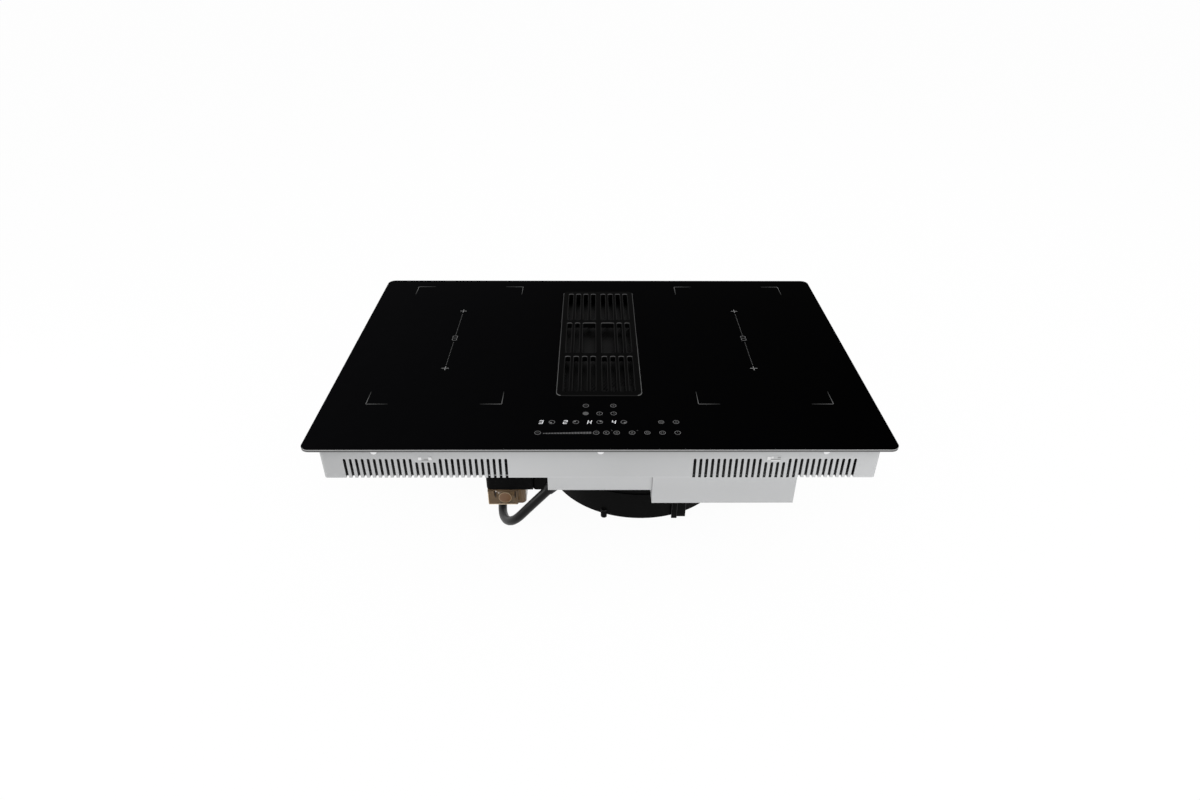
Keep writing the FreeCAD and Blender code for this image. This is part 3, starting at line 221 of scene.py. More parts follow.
def along(material, axis, stops):  # a grey that follows the millimetres along one axis
    tree = material.node_tree
    coords = tree.nodes.new("ShaderNodeTexCoord")
    split = tree.nodes.new("ShaderNodeSeparateXYZ")
    tree.links.new(coords.outputs["Object"], split.inputs[0])
    low, high = stops[0][0], stops[-1][0]
    span = tree.nodes.new("ShaderNodeMapRange")
    span.inputs["From Min"].default_value = low * mm
    span.inputs["From Max"].default_value = high * mm
    tree.links.new(split.outputs[axis], span.inputs["Value"])
    ramp = tree.nodes.new("ShaderNodeValToRGB")
    while len(ramp.color_ramp.elements) < len(stops):
        ramp.color_ramp.elements.new(0.5)
    for element, (place, grey) in zip(ramp.color_ramp.elements, stops):
        element.position = (place - low) / (high - low)
        element.color = (grey, grey, grey, 1)
    tree.links.new(span.outputs["Result"], ramp.inputs["Fac"])
    return ramp.outputs["Color"]


blackGlassPaintedLight = {
    "across": ((-385, 1), (0, 0.5), (385, 0.1)),  # x, share of the base grey: painted shade, darker towards the right
    "edge": ((206, 0.18), (207, 0.09), (208.2, 0.08), (209, 0.38), (209.5, 0.45)),  # level, grey: painted highlight along the top of the upright edge, painted shade below it
    "steep": 0.5,  # faces whose normal rises less than this are the edge
}


def blackGlass():
    material = finish("blackGlass", (0.0023, 0.0023, 0.0026), 0.05, specular=0.0008, tint=0.1,
                      roughSpread=0.02)
    tintBy(material, None, along(material, "X", blackGlassPaintedLight["across"]))
    tree = material.node_tree
    # the upright edge gets painted highlight and painted shade by level, the flat faces are black
    geometry = tree.nodes.new("ShaderNodeNewGeometry")
    split = tree.nodes.new("ShaderNodeSeparateXYZ")
    size = tree.nodes.new("ShaderNodeMath")
    size.operation = "ABSOLUTE"
    steep = tree.nodes.new("ShaderNodeMath")
    steep.operation = "LESS_THAN"
    steep.inputs[1].default_value = blackGlassPaintedLight["steep"]
    tree.links.new(geometry.outputs["True Normal"], split.inputs[0])
    tree.links.new(split.outputs["Z"], size.inputs[0])
    tree.links.new(size.outputs[0], steep.inputs[0])
    tintBy(material, steep.outputs[0], along(material, "Z", blackGlassPaintedLight["edge"]))
    return material


amberClear = 0.4  # share of the light that goes through


def amberPlastic():
    material = finish("amberPlastic", (0.17, 0.11, 0.058), 0.22, specular=0.12, tint=0.08,
                      roughSpread=0.05, IOR=1.49)
    material.node_tree.nodes["Principled BSDF"].inputs["Transmission Weight"].default_value = amberClear
    return material


# painted shade and highlight on the zinc sheets, as shares of the base grey along Z and X
trayPaintedShade = {
    "upward": ((150, 0.85), (151.2, 0.85), (152, 0.79), (180, 0.78), (205, 0.74)),  # level, share: painted shade, with a painted highlight along the bottom fold
    "across": ((-368, 0.9), (-270, 1.01), (-120, 1.1), (30, 1), (310, 1.14), (368, 1.13)),
}
# level, share: painted shade on the boxes, lightest at their top edge
boxPaintedShade = ((105, 0.98), (130, 0.96), (148, 0.98), (150, 1))
rimHighlightRamp = ((-136, 0.11), (-30, 0.09), (60, 0.045), (196, 0.03), (206, 0.1))  # y, grey: painted highlight on the grille's side bevels


# a zinc sheet whose grey carries painted shade and highlight along Z and X
def foldedSheet(name, grey, upward, across=((-368, 1), (368, 1))):
    material = finish(name, (grey, grey * 1.01, grey * 1.02), 0.5, metal=0.25, specular=0.3, tint=0.03,
                      tintScale=25, grain=0.12, grainScale=1500)
    tintBy(material, None, along(material, "Z", upward))
    tintBy(material, None, along(material, "X", across))
    return material


# white shaded along Y: painted highlight for the grille's side bevels
def grilleRimHighlight():
    material = finish("grilleRimHighlight", (1, 1, 1), 0.4, specular=0.1, tint=0.1)
    tintBy(material, None, along(material, "Y", rimHighlightRamp))
    return material


finishes = {
    "blackGlass": blackGlass(),
    "trayZinc": foldedSheet("trayZinc", 0.52, trayPaintedShade["upward"], trayPaintedShade["across"]),
    "boxZinc": foldedSheet("boxZinc", 0.44, boxPaintedShade),
    "screwZinc": finish("screwZinc", (0.8, 0.8, 0.81), 0.2, metal=1, tint=0.06),
    "blackMoulding": finish("blackMoulding", (0.0032, 0.0032, 0.0032), 0.45, specular=0.025, tint=0.2,
                            grain=0.25, grainScale=1400),
    "grilleCoat": finish("grilleCoat", (0.0024, 0.0024, 0.0024), 0.45, specular=0.002, tint=0.15,
                         grain=0.3, grainScale=2200),
    # painted shade for the tray's inside
    "trayInsideShade": finish("trayInsideShade", (0.1, 0.1, 0.1), 0.6, specular=0.1, tint=0.1),
    # painted highlights on the grille's bevels: side edges, the slots' far ends, and a faint one on the
    # rest
    "grilleRimHighlight": grilleRimHighlight(),
    "slotEndHighlight": finish("slotEndHighlight", (0.07, 0.07, 0.07), 0.4, specular=0.1, tint=0.1),
    "grilleEdgeSheen": finish("grilleEdgeSheen", (0.011, 0.011, 0.011), 0.45, specular=0.02, tint=0.1),
    # aluminium painted near black as shade
    "filterAluminiumInShade": finish("filterAluminiumInShade", (0.0034, 0.0034, 0.0034), 0.4, metal=1, tint=0.2,
                              tintScale=140, grain=0.1),
    "amberPlastic": amberPlastic(),
    # painted highlights along the cup's rims and ring, painted shade inside the ring and in the slits
    "amberRimHighlight": finish("amberRimHighlight", (0.7, 0.56, 0.4), 0.2, specular=0.5, tint=0.08),
    "amberRingHighlight": finish("amberRingHighlight", (0.42, 0.32, 0.2), 0.2, specular=0.5, tint=0.4, tintScale=300),
    "amberRingShade": finish("amberRingShade", (0.15, 0.08, 0.04), 0.3, specular=0.3, tint=0.15, tintScale=150),
    "amberSlitShade": finish("amberSlitShade", (0.02, 0.014, 0.01), 0.5, specular=0.2, tint=0.1),
    # painted highlight and painted shadow for the lances
    "lanceHighlightPaint": finish("lanceHighlightPaint", (0.62, 0.62, 0.62), 0.4, tint=0.05),
    "lanceShadowPaint": finish("lanceShadowPaint", (0.25, 0.25, 0.25), 0.5, tint=0.05),
    # painted highlights for bevelled edges
    "mouldingEdgeHighlight": finish("mouldingEdgeHighlight", (0.03, 0.03, 0.03), 0.4, specular=0.2, tint=0.1),
    "foldHighlightZinc": finish("foldHighlightZinc", (0.62, 0.62, 0.63), 0.4, metal=0.3, tint=0.04, tintScale=30),
    "litz": finish("litz", (0.5, 0.2, 0.08), 0.4, metal=0.6, tint=0.25, tintScale=400, grain=0.4),
    "formerPlastic": finish("formerPlastic", (0.5, 0.48, 0.44), 0.6, tint=0.05, grain=0.1),
    "ferrite": finish("ferrite", (0.05, 0.05, 0.055), 0.7, tint=0.15, grain=0.2),
    "mica": finish("mica", (0.62, 0.55, 0.42), 0.6, tint=0.15, tintScale=120),
    "plateAluminium": finish("plateAluminium", (0.66, 0.67, 0.68), 0.35, metal=1, tint=0.04,
                             stretch=(1, 30, 1)),
    "boardGreen": finish("boardGreen", (0.03, 0.14, 0.06), 0.35, tint=0.2, tintScale=200),
    "partBlack": finish("partBlack", (0.02, 0.02, 0.022), 0.3, tint=0.1),
    "springWire": finish("springWire", (0.6, 0.6, 0.6), 0.25, metal=1, tint=0.05),
    "motorSteel": finish("motorSteel", (0.1, 0.1, 0.105), 0.4, metal=0.4, tint=0.1),
    "rubber": finish("rubber", (0.0025, 0.0025, 0.0025), 0.32, specular=0.11, tint=0.15, grain=0.1),
    "foam": finish("foam", (0.02, 0.02, 0.02), 0.9, specular=0.1, grain=0.6, grainScale=500),
    "terminalGrey": finish("terminalGrey", (0.7, 0.7, 0.66), 0.5, tint=0.04),
    "coreCopper": finish("coreCopper", (0.4, 0.2, 0.1), 0.4, metal=0.5, tint=0.3),
    "tieNylon": finish("tieNylon", (0.6, 0.6, 0.58), 0.4, tint=0.04),
}

nodeFinishes = {
    "blackGlass": ["glass_top"],
    "foam": ["edge_seal"],
    "rubber": ["glass_bond", "cup_seal", "motor_dampers", "cord_boot", "power_cord", "power_cord_coil"],
    "trayZinc": ["tray", "motor_plate"],
    "boxZinc": ["terminal_box", "driver_box"],
    "blackMoulding": ["inlet_duct", "air_chamber", "drain_collector", "fan_housing_lower",
                      "fan_housing_upper", "housing_feet", "outlet_spigot", "fan_wheel",
                      "blower_housing_left", "blower_housing_right", "blower_wheel_left",
                      "blower_wheel_right"],
    "filterAluminiumInShade": ["filter_frame", "filter_mesh"],
    "formerPlastic": ["board_holder"] + [n for n in nodes if n.startswith("coil_former")],
    "litz": [n for n in nodes if n.startswith("coil_winding")],
    "ferrite": ["coil_ferrites"],
    "mica": ["coil_mica_sheets"],
    "plateAluminium": ["carrier_plate_left", "carrier_plate_right", "heat_sink_left",
                       "heat_sink_right"],
    "boardGreen": ["power_board_left", "power_board_right", "touch_board", "driver_board"],
    "partBlack": ["coil_sensors", "board_components", "display_modules"],
    "screwZinc": ["tray_screws"],
    "amberPlastic": ["condensate_cup"],
    "grilleCoat": ["grille"],
    "springWire": ["coil_springs", "touch_springs", "fan_shaft", "motor_bearings"],
    "motorSteel": ["motor_rotor", "motor_stator"],
    "terminalGrey": ["terminal_block"],
    "coreCopper": ["cord_cores"],
    "tieNylon": ["cord_tie"],
}


def dressNodes():
    for name, members in nodeFinishes.items():
        for member in members:
            mesh = nodes[member].data
            mesh.materials.clear()
            mesh.materials.append(finishes[name])
    bare = set(nodes) - {n for members in nodeFinishes.values() for n in members}
    print("CAD nodes dressed, bare:", sorted(bare))


# printed marks on the glass, each a film of ink
marks = {
    "level": 210.01,
    "film": 0.05,
    "line": 0.36,
    "zones": (-231.25, 231.25),
    "bracket": {"halfWide": 94.25, "ends": (-154.5, 232.3), "armAcross": 30, "armAlong": 32,
                "line": 0.8},
    "cross": {"at": (-57, 134), "reach": 4.82, "line": 1.2, "ink": 1.3},
    "dash": {"spans": ((-46, 26), (48, 122)), "pitch": 4.6, "half": 0.9, "line": 0.75, "ink": 0.55},
    "bridge": {"y": 37.5, "wide": 7, "tall": 18, "sides": ((-0.4, -0.12), (0.12, 0.4)), "line": 0.9,
               "ink": 0.8},
}

touchField = {
    "ring": (3.5, 4.2),  # inner and outer radius
    "smallRing": (3.3, 4),
    "quarter": 3,
    "disc": (-20, -177.8, 4.1),
    "ticks": ((15.6, -219, 125), (48, -219, 55)),  # x, y, lean
    "tick": 2.2,
    "bars": 32,
    "barSpan": (-75, -13),
    "barFoot": -225,
    "barTall": (0.9, 3.7),
    "barLine": 1.05,
    "centre": 0.01,  # smallest radius that an arc is spun from
    "ink": 0.85,
    "discInk": 0.5,
}
symbols = {  # strokes inside a ring
    "minus": ((-1.9, 0, 1.9, 0),),
    "plus": ((-1.9, 0, 1.9, 0), (0, -1.9, 0, 1.9)),
    "bar": ((0, -2, 0, 2.3),),
    "clock": ((0, 0, 0, 2.6), (0, 0, 1.7, -1.1)),
    "boost": ((-1.2, -2, -1.2, 2), (-1.2, 2, 1, 1.2), (1, 1.2, -1, 0), (-1, 0, 1.2, -1),
              (1.2, -1, -1.2, -2)),
    "lamp": ((0, -2.2, 0, 2.2), (0.9, -2, 0.9, 2), (-0.9, -2, -0.9, 2)),
    "lock": ((-1.7, -1.2, 1.7, -1.2), (-1.7, -0.4, 1.7, -0.4), (-1.2, 0.4, -1.2, 1.8),
             (1.2, 0.4, 1.2, 1.8), (-1.2, 1.8, 1.2, 1.8)),
    "pause": ((-1.2, -1.9, -1.2, 1.9), (1.2, -1.9, 1.2, 1.9)),
    "power": ((0, 0.2, 0, 3.4),),
    "grid": ((-2, 1.2, 2, 1.2), (-2, 0, 2, 0), (-2, -1.2, 2, -1.2), (-1.6, -1.6, -1.6, 1.6),
             (1.6, -1.6, 1.6, 1.6)),
    "heat": ((-1.4, -2, 0, 2), (0, 2, 1.4, -2), (-0.9, -0.7, 0.9, -0.7)),
}
rings = (
    ("minus", -20, -158.6), ("plus", 18.2, -158.6), ("bar", -1, -177.8), ("clock", 18.2, -177.8),
    ("minus", -82.8, -223), ("plus", -5.8, -223), ("boost", 7.6, -223), ("lamp", 21.2, -223),
    ("lamp", 41.6, -223), ("lock", 61.6, -223), ("pause", 81.6, -223), ("power", 101.6, -223),
    ("grid", 81.6, -198.4), ("heat", 101.6, -198.4),
)
zoneSymbols = ((-65.2, 180), (-33, 90), (-1, 0), (31.4, 270))  # x, first angle of the filled quarter
digits = (("3", -79.6), ("2", -47.2), ("H", -14.6), ("4", 18))
digitShape = {"wide": 5.4, "tall": 8.2, "line": 0.95, "slant": 0.16, "y": -198.4}
segments = {
    "a": (0, 1, 1, 1), "b": (1, 1, 1, 0.5), "c": (1, 0.5, 1, 0), "d": (0, 0, 1, 0),
    "e": (0, 0.5, 0, 0), "f": (0, 1, 0, 0.5), "g": (0, 0.5, 1, 0.5),
}
digitSegments = {"3": "abgcd", "2": "abged", "H": "fegbc", "4": "fgbc"}


def addStroke(bm, ax, ay, bx, by, line):
    made = bmesh.ops.create_grid(bm, x_segments=1, y_segments=1, size=0.5)["verts"]
    run = Vector((bx - ax, by - ay, 0))
    bmesh.ops.scale(bm, verts=made, vec=(run.length + line, line, 1))
    bmesh.ops.rotate(bm, verts=made, matrix=Matrix.Rotation(math.atan2(run.y, run.x), 3, "Z"))
    bmesh.ops.translate(bm, verts=made, vec=((ax + bx) / 2, (ay + by) / 2, 0))
    return made


def addArc(bm, x, y, inner, outer, start=0, sweep=360, steps=28):
    turn = Matrix.Rotation(math.radians(start), 3, "Z")
    ends = [bm.verts.new(Vector((x, y, 0)) + turn @ Vector((r, 0, 0))) for r in (inner, outer)]
    edge = bm.edges.new(ends)
    bmesh.ops.spin(bm, geom=ends + [edge], cent=(x, y, 0), axis=(0, 0, 1), angle=math.radians(sweep),
                   steps=steps, use_merge=sweep == 360)


def inkPiece(name, bm, material):
    bmesh.ops.remove_doubles(bm, verts=bm.verts, dist=1e-5)
    bmesh.ops.recalc_face_normals(bm, faces=bm.faces)
    down = [f for f in bm.faces if f.normal.z < 0]
    bmesh.ops.reverse_faces(bm, faces=down)
    top = bmesh.ops.extrude_face_region(bm, geom=bm.faces[:], use_keep_orig=True)
    lifted = [g for g in top["geom"] if isinstance(g, bmesh.types.BMVert)]
    bmesh.ops.translate(bm, verts=lifted, vec=(0, 0, marks["film"]))
    bmesh.ops.recalc_face_normals(bm, faces=bm.faces)
    bmesh.ops.translate(bm, verts=bm.verts, vec=(0, 0, marks["level"]))
    bmesh.ops.scale(bm, verts=bm.verts, vec=(mm, mm, mm))
    piece = newPiece(name, bm, material)
    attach(piece, "hob")
    return piece


def zoneMarks():
    bm = bmesh.new()
    fade = bm.verts.layers.float.new("fade")
    bracket, cross, dash, bridge = (marks[k] for k in ("bracket", "cross", "dash", "bridge"))
    for middle in marks["zones"]:
        for side in (-1, 1):
            for y, inward in zip(bracket["ends"], (1, -1)):
                corner = (middle + side * bracket["halfWide"], y)
                for reach in ((-side * bracket["armAcross"], 0), (0, inward * bracket["armAlong"])):
                    end = (corner[0] + reach[0], corner[1] + reach[1])
                    for v in addStroke(bm, *corner, *end, bracket["line"]):
                        away = (v.co.xy - Vector(corner)).length
                        v[fade] = max(0, 1 - away / bracket["armAlong"])
        for y in cross["at"]:
            for dx, dy in ((cross["reach"], 0), (0, cross["reach"])):
                for v in addStroke(bm, middle - dx, y - dy, middle + dx, y + dy, cross["line"]):
                    v[fade] = cross["ink"]
        for low, high in dash["spans"]:
            for i in range(int((high - low) / dash["pitch"]) + 1):
                y = low + i * dash["pitch"]
                for v in addStroke(bm, middle, y - dash["half"], middle, y + dash["half"], dash["line"]):
                    v[fade] = dash["ink"]
        half, line = bridge["wide"] / 2, bridge["line"]
        low, high = (share * bridge["tall"] for share in (bridge["sides"][0][0], bridge["sides"][-1][1]))
        for y in (bridge["y"] + low, bridge["y"], bridge["y"] + high):
            for v in addStroke(bm, middle - half, y, middle + half, y, line):
                v[fade] = bridge["ink"]
        for x in (middle - half, middle + half):
            for low, high in bridge["sides"]:
                for v in addStroke(bm, x, bridge["y"] + low * bridge["tall"], x,
                                   bridge["y"] + high * bridge["tall"], line):
                    v[fade] = bridge["ink"]
    bmesh.ops.delete(bm, geom=[v for v in bm.verts if not v.link_faces], context="VERTS")
    return inkPiece("zoneMarks", bm, printInk())


def touchSymbols():
    bm = bmesh.new()
    fade = bm.verts.layers.float.new("fade")
    for name, x, y in rings:
        addArc(bm, x, y, *touchField["smallRing" if name in ("lock", "grid") else "ring"])
        for stroke in symbols[name]:
            addStroke(bm, x + stroke[0], y + stroke[1], x + stroke[2], y + stroke[3], marks["line"])
    for x, first in zoneSymbols:
        addArc(bm, x, digitShape["y"], *touchField["ring"])
        addArc(bm, x, digitShape["y"], touchField["centre"], touchField["quarter"], first, 90, 8)
    old = set(bm.verts)
    x, y, radius = touchField["disc"]
    addArc(bm, x, y, touchField["centre"], radius)
    disc = set(bm.verts) - old
    for x, y, lean in touchField["ticks"]:
        run = Matrix.Rotation(math.radians(lean), 2) @ Vector((touchField["tick"], 0))
        addStroke(bm, x, y, x + run.x, y + run.y, marks["line"])
    (left, right), (short, tall) = touchField["barSpan"], touchField["barTall"]
    foot = touchField["barFoot"]
    for i in range(touchField["bars"]):
        share = i / (touchField["bars"] - 1)
        x = left + (right - left) * share
        addStroke(bm, x, foot, x, foot + short + (tall - short) * share, touchField["barLine"])
    for v in bm.verts:
        v[fade] = touchField["discInk" if v in disc else "ink"]
    return inkPiece("touchSymbols", bm, printInk())


def displayDigits():
    bm = bmesh.new()
    for sign, x in digits:
        for key in digitSegments[sign]:
            ax, ay, bx, by = segments[key]
            wide, tall = (digitShape[k] - digitShape["line"] for k in ("wide", "tall"))
            points = [((px - 0.5) * wide, (py - 0.5) * tall) for px, py in ((ax, ay), (bx, by))]
            ends = [(x + px + digitShape["slant"] * py, digitShape["y"] + py) for px, py in points]
            addStroke(bm, *ends[0], *ends[1], digitShape["line"])
    return inkPiece("displayDigits", bm, litSegments())


def printInk():
    found = bpy.data.materials.get("printInk")
    if found:
        return found
    material = finish("printInk", (0.14, 0.14, 0.14), 0.4, specular=0.1, tint=0.06, tintScale=800)
    fade = material.node_tree.nodes.new("ShaderNodeAttribute")
    fade.attribute_name = "fade"
    tintBy(material, None, fade.outputs["Fac"])
    return material


def litSegments():
    material = finish("litSegments", (0.6, 0.6, 0.62), 0.3, tint=0.04, tintScale=300)
    shader = material.node_tree.nodes["Principled BSDF"]
    shader.inputs["Emission Color"].default_value = (0.95, 0.97, 1, 1)
    shader.inputs["Emission Strength"].default_value = 0.25
    return material


# copies with softened edges, whose bevel is a slot of its own
def softened(node, offset, segments, lowest=-1, highest=1):
    bm = bmesh.new()
    bm.from_mesh(nodes[node].data)
    bmesh.ops.remove_doubles(bm, verts=bm.verts, dist=1e-6)
    bmesh.ops.dissolve_limit(bm, angle_limit=math.radians(1), verts=bm.verts, edges=bm.edges)
    edges = [e for e in bm.edges if e.is_manifold and e.is_convex
             and e.calc_face_angle(0) > math.radians(35)
             and all(lowest < v.co.z / mm < highest for v in e.verts)]
    for face in bevelEdges(bm, edges, offset * mm, segments)["faces"]:
        face.material_index = 1
    return bm


grilleLook = {"edge": 0.8, "middle": (-1.3, 36.5), "half": (55, 170), "top": (211.9, 212.1)}


def softGrille():
    bm = softened("grille", grilleLook["edge"], 1, *grilleLook["top"])
    cx, cy = grilleLook["middle"]
    # bevel faces carry painted highlights: brightest on the sides, then the slots' far ends, faint on the
    # rest
    for face in bm.faces:
        if face.material_index == 0:
            continue
        place, away = face.calc_center_median() / mm, face.normal
        beside = abs(place.x - cx) > grilleLook["half"][0]
        ahead = abs(place.y - cy) > grilleLook["half"][1]
        if beside and abs(away.x) > 0.2:
            face.material_index = 2
        elif away.y < -0.3 and away.z > 0.3 and not ahead:
            face.material_index = 3
    piece = newPiece("softGrille", bm, finishes["grilleCoat"], smooth=30)
    for name in ("grilleEdgeSheen", "grilleRimHighlight", "slotEndHighlight"):
        piece.data.materials.append(finishes[name])
    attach(piece, "grille")
    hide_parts("grille")
    return piece


# folded boxes and moulded parts, with a painted highlight on their bevelled edges
rounded = {
    "terminal_box": {"edge": 0.5, "look": "boxZinc", "edgeHighlight": "foldHighlightZinc", "slot": "tray_steel"},
    "driver_box": {"edge": 0.5, "look": "boxZinc", "edgeHighlight": "foldHighlightZinc", "slot": "tray_steel"},
    "housing_feet": {"edge": 0.5, "look": "blackMoulding", "edgeHighlight": "mouldingEdgeHighlight",
                     "slot": "black_plastic"},
}


def roundedCopy(node):
    facts = rounded[node]
    bm = softened(node, facts["edge"], 2, -1, 149)
    words = node.split("_")
    piece = newPiece(words[0] + words[1].capitalize() + "Rounded", bm, finishes[facts["look"]], smooth=40)
    piece.data.materials.append(finishes[facts["edgeHighlight"]])
    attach(piece, "hob")
    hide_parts(node)


lance = {"wall": -242.1, "proud": -242.3, "stand": 0.05, "film": 0.2, "line": 1.1}
# painted highlight and painted shadow strips on the lances; x of the lance, then its strips: dx, width,
# low, high
lanceHighlightStrips = ((-230.5, ((-7, 4.4, 180.4, 183.6), (6.6, 4.2, 180.4, 183.6))),
               (230.5, ((-8.2, 1, 180.5, 184.5), (-4.4, 1, 182.5, 184.8), (0.5, 12, 178.7, 178.8))))
lanceShadowStrips = ((-230.5, ((-0.4, 9, 179.3, 179.4), (0.8, 5, 180.9, 181))),
             (230.5, ((0.4, 13, 180.3, 180.4), (4.8, 4, 183, 184.2))))


def lanceStrips(name, look, sets):
    bm = bmesh.new()
    for middle, strips in sets:
        for dx, wide, low, high in strips:
            line = high - low + lance["line"]
            level = (low + high) / 2
            half = max(0.01, (wide - line) / 2)
            addStroke(bm, middle + dx - half, level, middle + dx + half, level, line)
    up = bmesh.ops.extrude_face_region(bm, geom=bm.faces[:], use_keep_orig=True)
    lifted = [g for g in up["geom"] if isinstance(g, bmesh.types.BMVert)]
    bmesh.ops.translate(bm, verts=lifted, vec=(0, 0, lance["film"]))
    bmesh.ops.recalc_face_normals(bm, faces=bm.faces)
    bmesh.ops.rotate(bm, verts=bm.verts, matrix=Matrix.Rotation(math.radians(90), 3, "X"))
    bmesh.ops.translate(bm, verts=bm.verts, vec=(0, lance["proud"] - lance["stand"], 0))
    bmesh.ops.scale(bm, verts=bm.verts, vec=(mm, mm, mm))
    piece = newPiece(name, bm, finishes[look])
    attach(piece, "hob")


trayRoom = {"halfWide": 367, "halfDeep": 241, "floor": 150.9}  # faces inside it get painted shade


def trayShell():  # the tray's own mesh, with painted shade on its inside and shallow lances
    bm = bmesh.new()
    bm.from_mesh(nodes["tray"].data)
    for v in bm.verts:
        if v.co.y < lance["wall"] * mm:
            v.co.y = lance["proud"] * mm
    for face in bm.faces:
        x, y, z = face.calc_center_median() / mm
        if abs(x) < trayRoom["halfWide"] and abs(y) < trayRoom["halfDeep"] and z > trayRoom["floor"]:
            face.material_index = 1
    piece = newPiece("trayShell", bm, finishes["trayZinc"])
    piece.data.materials.append(finishes["trayInsideShade"])
    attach(piece, "hob")
    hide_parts("tray")


# condensate cup: rounded lower edge, thumb ring, painted highlights along its rims and ring, painted
# shade in the ring and slits
cup = {
    "edge": 2.2,
    "face": -162.6,
    "ringFace": -163.3,
    "foot": 33,
    "footBand": (32.5, 34.2),
    "film": 0.25,
    "stand": 0.2,
    "panel": (-167.3, -122.5),
    "ring": (-141.4, 48.6),
    "ringRadius": 9.6,
    "line": 0.6,
    "slits": (-155.6, -126.4),
    "slit": (1.7, 11),
    "top": 60,
}


def roundedCup():
    bm = softened("condensate_cup", cup["edge"], 4, *cup["footBand"])
    for face in bm.faces:
        face.material_index = 0
    piece = newPiece("roundedCup", bm, finishes["amberPlastic"], smooth=40)
    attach(piece, "condensate_cup")
    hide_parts("condensate_cup")


def cupTrim(name, look, face, shapes):  # thin strips and rings standing on the cup's front, carrying painted highlight and painted shade
    bm = bmesh.new()
    for shape in shapes:
        addStroke(bm, *shape) if len(shape) == 5 else addArc(bm, *shape)
    bmesh.ops.remove_doubles(bm, verts=bm.verts, dist=1e-5)
    bmesh.ops.recalc_face_normals(bm, faces=bm.faces)
    up = bmesh.ops.extrude_face_region(bm, geom=bm.faces[:], use_keep_orig=True)
    lifted = [g for g in up["geom"] if isinstance(g, bmesh.types.BMVert)]
    bmesh.ops.translate(bm, verts=lifted, vec=(0, 0, cup["film"]))
    bmesh.ops.recalc_face_normals(bm, faces=bm.faces)
    bmesh.ops.rotate(bm, verts=bm.verts, matrix=Matrix.Rotation(math.radians(90), 3, "X"))
    bmesh.ops.translate(bm, verts=bm.verts, vec=(0, face - cup["stand"], 0))
    bmesh.ops.scale(bm, verts=bm.verts, vec=(mm, mm, mm))
    piece = newPiece(name, bm, finishes[look])
    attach(piece, "condensate_cup")


def cupDetails():
    (left, right), foot, top = cup["panel"], cup["foot"], cup["top"]
    x, z = cup["ring"]
    outer = cup["ringRadius"]
    cupTrim("cupRimHighlights", "amberRimHighlight", cup["face"], [
        (left + 3, foot + 2.2, right - 3, foot + 2.2, 1.1),
        (left + 0.7, foot + 4, left + 0.7, top - 2, 0.8)])
    cupTrim("cupRingHighlight", "amberRingHighlight", cup["ringFace"], [(x, z, outer - cup["line"], outer)])
    cupTrim("cupShade", "amberRingShade", cup["ringFace"], [(x, z, 0.01, outer - cup["line"])])
    wide, tall = cup["slit"]
    cupTrim("cupSlitShade", "amberSlitShade", cup["face"], [(x, top - tall, x, top - wide, wide)
                                                   for x in cup["slits"]])


# grease filter: sheets of expanded aluminium, painted near black as shade
filterLook = {
    "box": (-56.3, -130, 53.7, 203),
    "levels": (190.2, 193.4, 196.6),
    "cell": (5.0, 10.0),
    "strand": 0.9,
    "rise": 0.7,
}


def addRow(bm, geom, step, count):
    return bmesh.ops.spin(bm, geom=geom, cent=(0, 0, 0), axis=(0, 0, 1), angle=0, dvec=step,
                          steps=count - 1, use_duplicate=True)


def filterSheets():
    bm = bmesh.new()
    x0, y0, x1, y1 = filterLook["box"]
    wide, tall = filterLook["cell"]
    for ax, ay, bx, by in ((0, 0.5, 0.5, 1), (0.5, 1, 1, 0.5), (0, 0.5, 0.5, 0), (0.5, 0, 1, 0.5)):
        for v in addStroke(bm, ax * wide, ay * tall, bx * wide, by * tall, filterLook["strand"]):
            v.co.z = filterLook["rise"] * (1 if v.co.y > tall / 2 else -1) / 2
    addRow(bm, bm.verts[:] + bm.edges[:] + bm.faces[:], (wide, 0, 0), int((x1 - x0) / wide))
    addRow(bm, bm.verts[:] + bm.edges[:] + bm.faces[:], (0, tall, 0), int((y1 - y0) / tall))
    bmesh.ops.translate(bm, verts=bm.verts, vec=(x0, y0, filterLook["levels"][0]))
    first = bm.verts[:] + bm.edges[:] + bm.faces[:]
    for number, level in enumerate(filterLook["levels"][1:]):
        twin = bmesh.ops.duplicate(bm, geom=first)["geom"]
        shift = wide / 4 * (1 - number % 2)
        lift = level - filterLook["levels"][0]
        bmesh.ops.translate(bm, verts=[g for g in twin if isinstance(g, bmesh.types.BMVert)],
                            vec=(shift, tall / 3 * (number + 1) - tall / 2, lift))
    bmesh.ops.scale(bm, verts=bm.verts, vec=(mm, mm, mm))
    piece = newPiece("filterSheets", bm, finishes["filterAluminiumInShade"])
    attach(piece, "grease_filter")
    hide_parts("filter_mesh")
    return piece


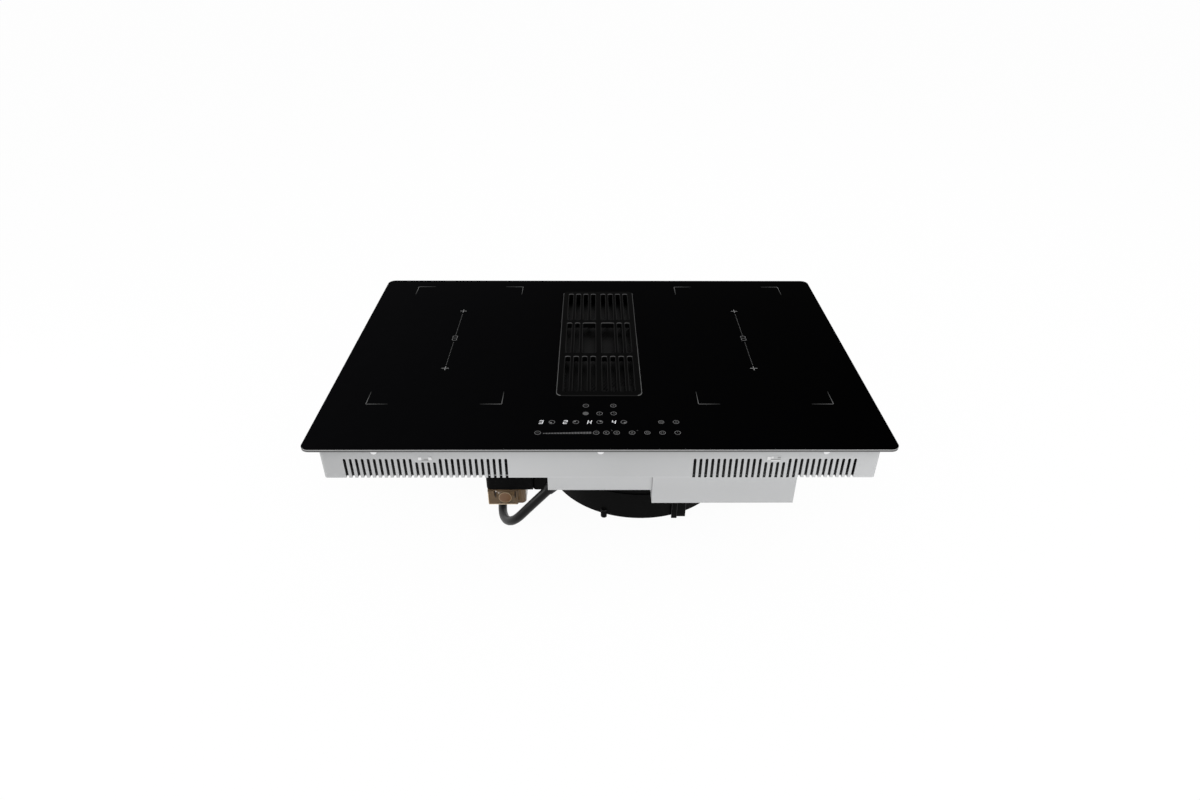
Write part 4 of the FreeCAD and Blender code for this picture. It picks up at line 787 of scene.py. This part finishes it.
# mains cord: the route of the solid, then the put-away turns
cordFacts = {
    "diameter": 13.4,
    "route": [(-71.4, -220.6, 112.1), (-98, -213.5, 76.5), (-128, -203, 33), (-149, -160, 6.9),
              (-153, -100, 6.9), (-147, -34, 6.9), (-157, 36, 6.9)],
    "coilCentre": (-243.4, 104),
    "coilRadius": 88,
    "turns": 2.4375,
    "pointsPerTurn": 16,
    "floor": 6.9,
}


def mainsCord():
    points = [Vector(p) for p in cordFacts["route"]]
    cx, cy = cordFacts["coilCentre"]
    count = int(cordFacts["turns"] * cordFacts["pointsPerTurn"]) + 1
    for i in range(count):
        angle = 2 * math.pi * i / cordFacts["pointsPerTurn"]
        radius = cordFacts["coilRadius"] - cordFacts["diameter"] * i / cordFacts["pointsPerTurn"]
        swell = 1 / math.cos(math.pi / cordFacts["pointsPerTurn"])  # control points lie outside
        radius *= swell
        points.append(Vector((cx + radius * math.cos(angle), cy + radius * math.sin(angle),
                              cordFacts["floor"])))
    curve = bpy.data.curves.new("mainsCord", "CURVE")
    curve.dimensions = "3D"
    curve.bevel_depth = cordFacts["diameter"] / 2 * mm
    curve.bevel_resolution = 5
    curve.use_fill_caps = True
    curve.resolution_u = 6
    spline = curve.splines.new("NURBS")
    spline.points.add(len(points) - 1)
    for slot, point in zip(spline.points, points):
        slot.co = (*(point * mm), 1)
    spline.order_u = 3
    spline.use_endpoint_u = True
    cord = bpy.data.objects.new("mainsCord", curve)
    bpy.context.collection.objects.link(cord)
    curve.materials.append(finishes["rubber"])
    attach(cord, "hob")
    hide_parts("power_cord", "power_cord_coil")
    print("cord laid:", len(points), "points")


setCamera()
setLamps()
setStudio()
dressNodes()
mainsCord()
zoneMarks()
touchSymbols()
displayDigits()
softGrille()
filterSheets()
for node in rounded:
    roundedCopy(node)
trayShell()
lanceStrips("lanceHighlights", "lanceHighlightPaint", lanceHighlightStrips)
lanceStrips("lanceShade", "lanceShadowPaint", lanceShadowStrips)
roundedCup()
cupDetails()
print("pieces made")
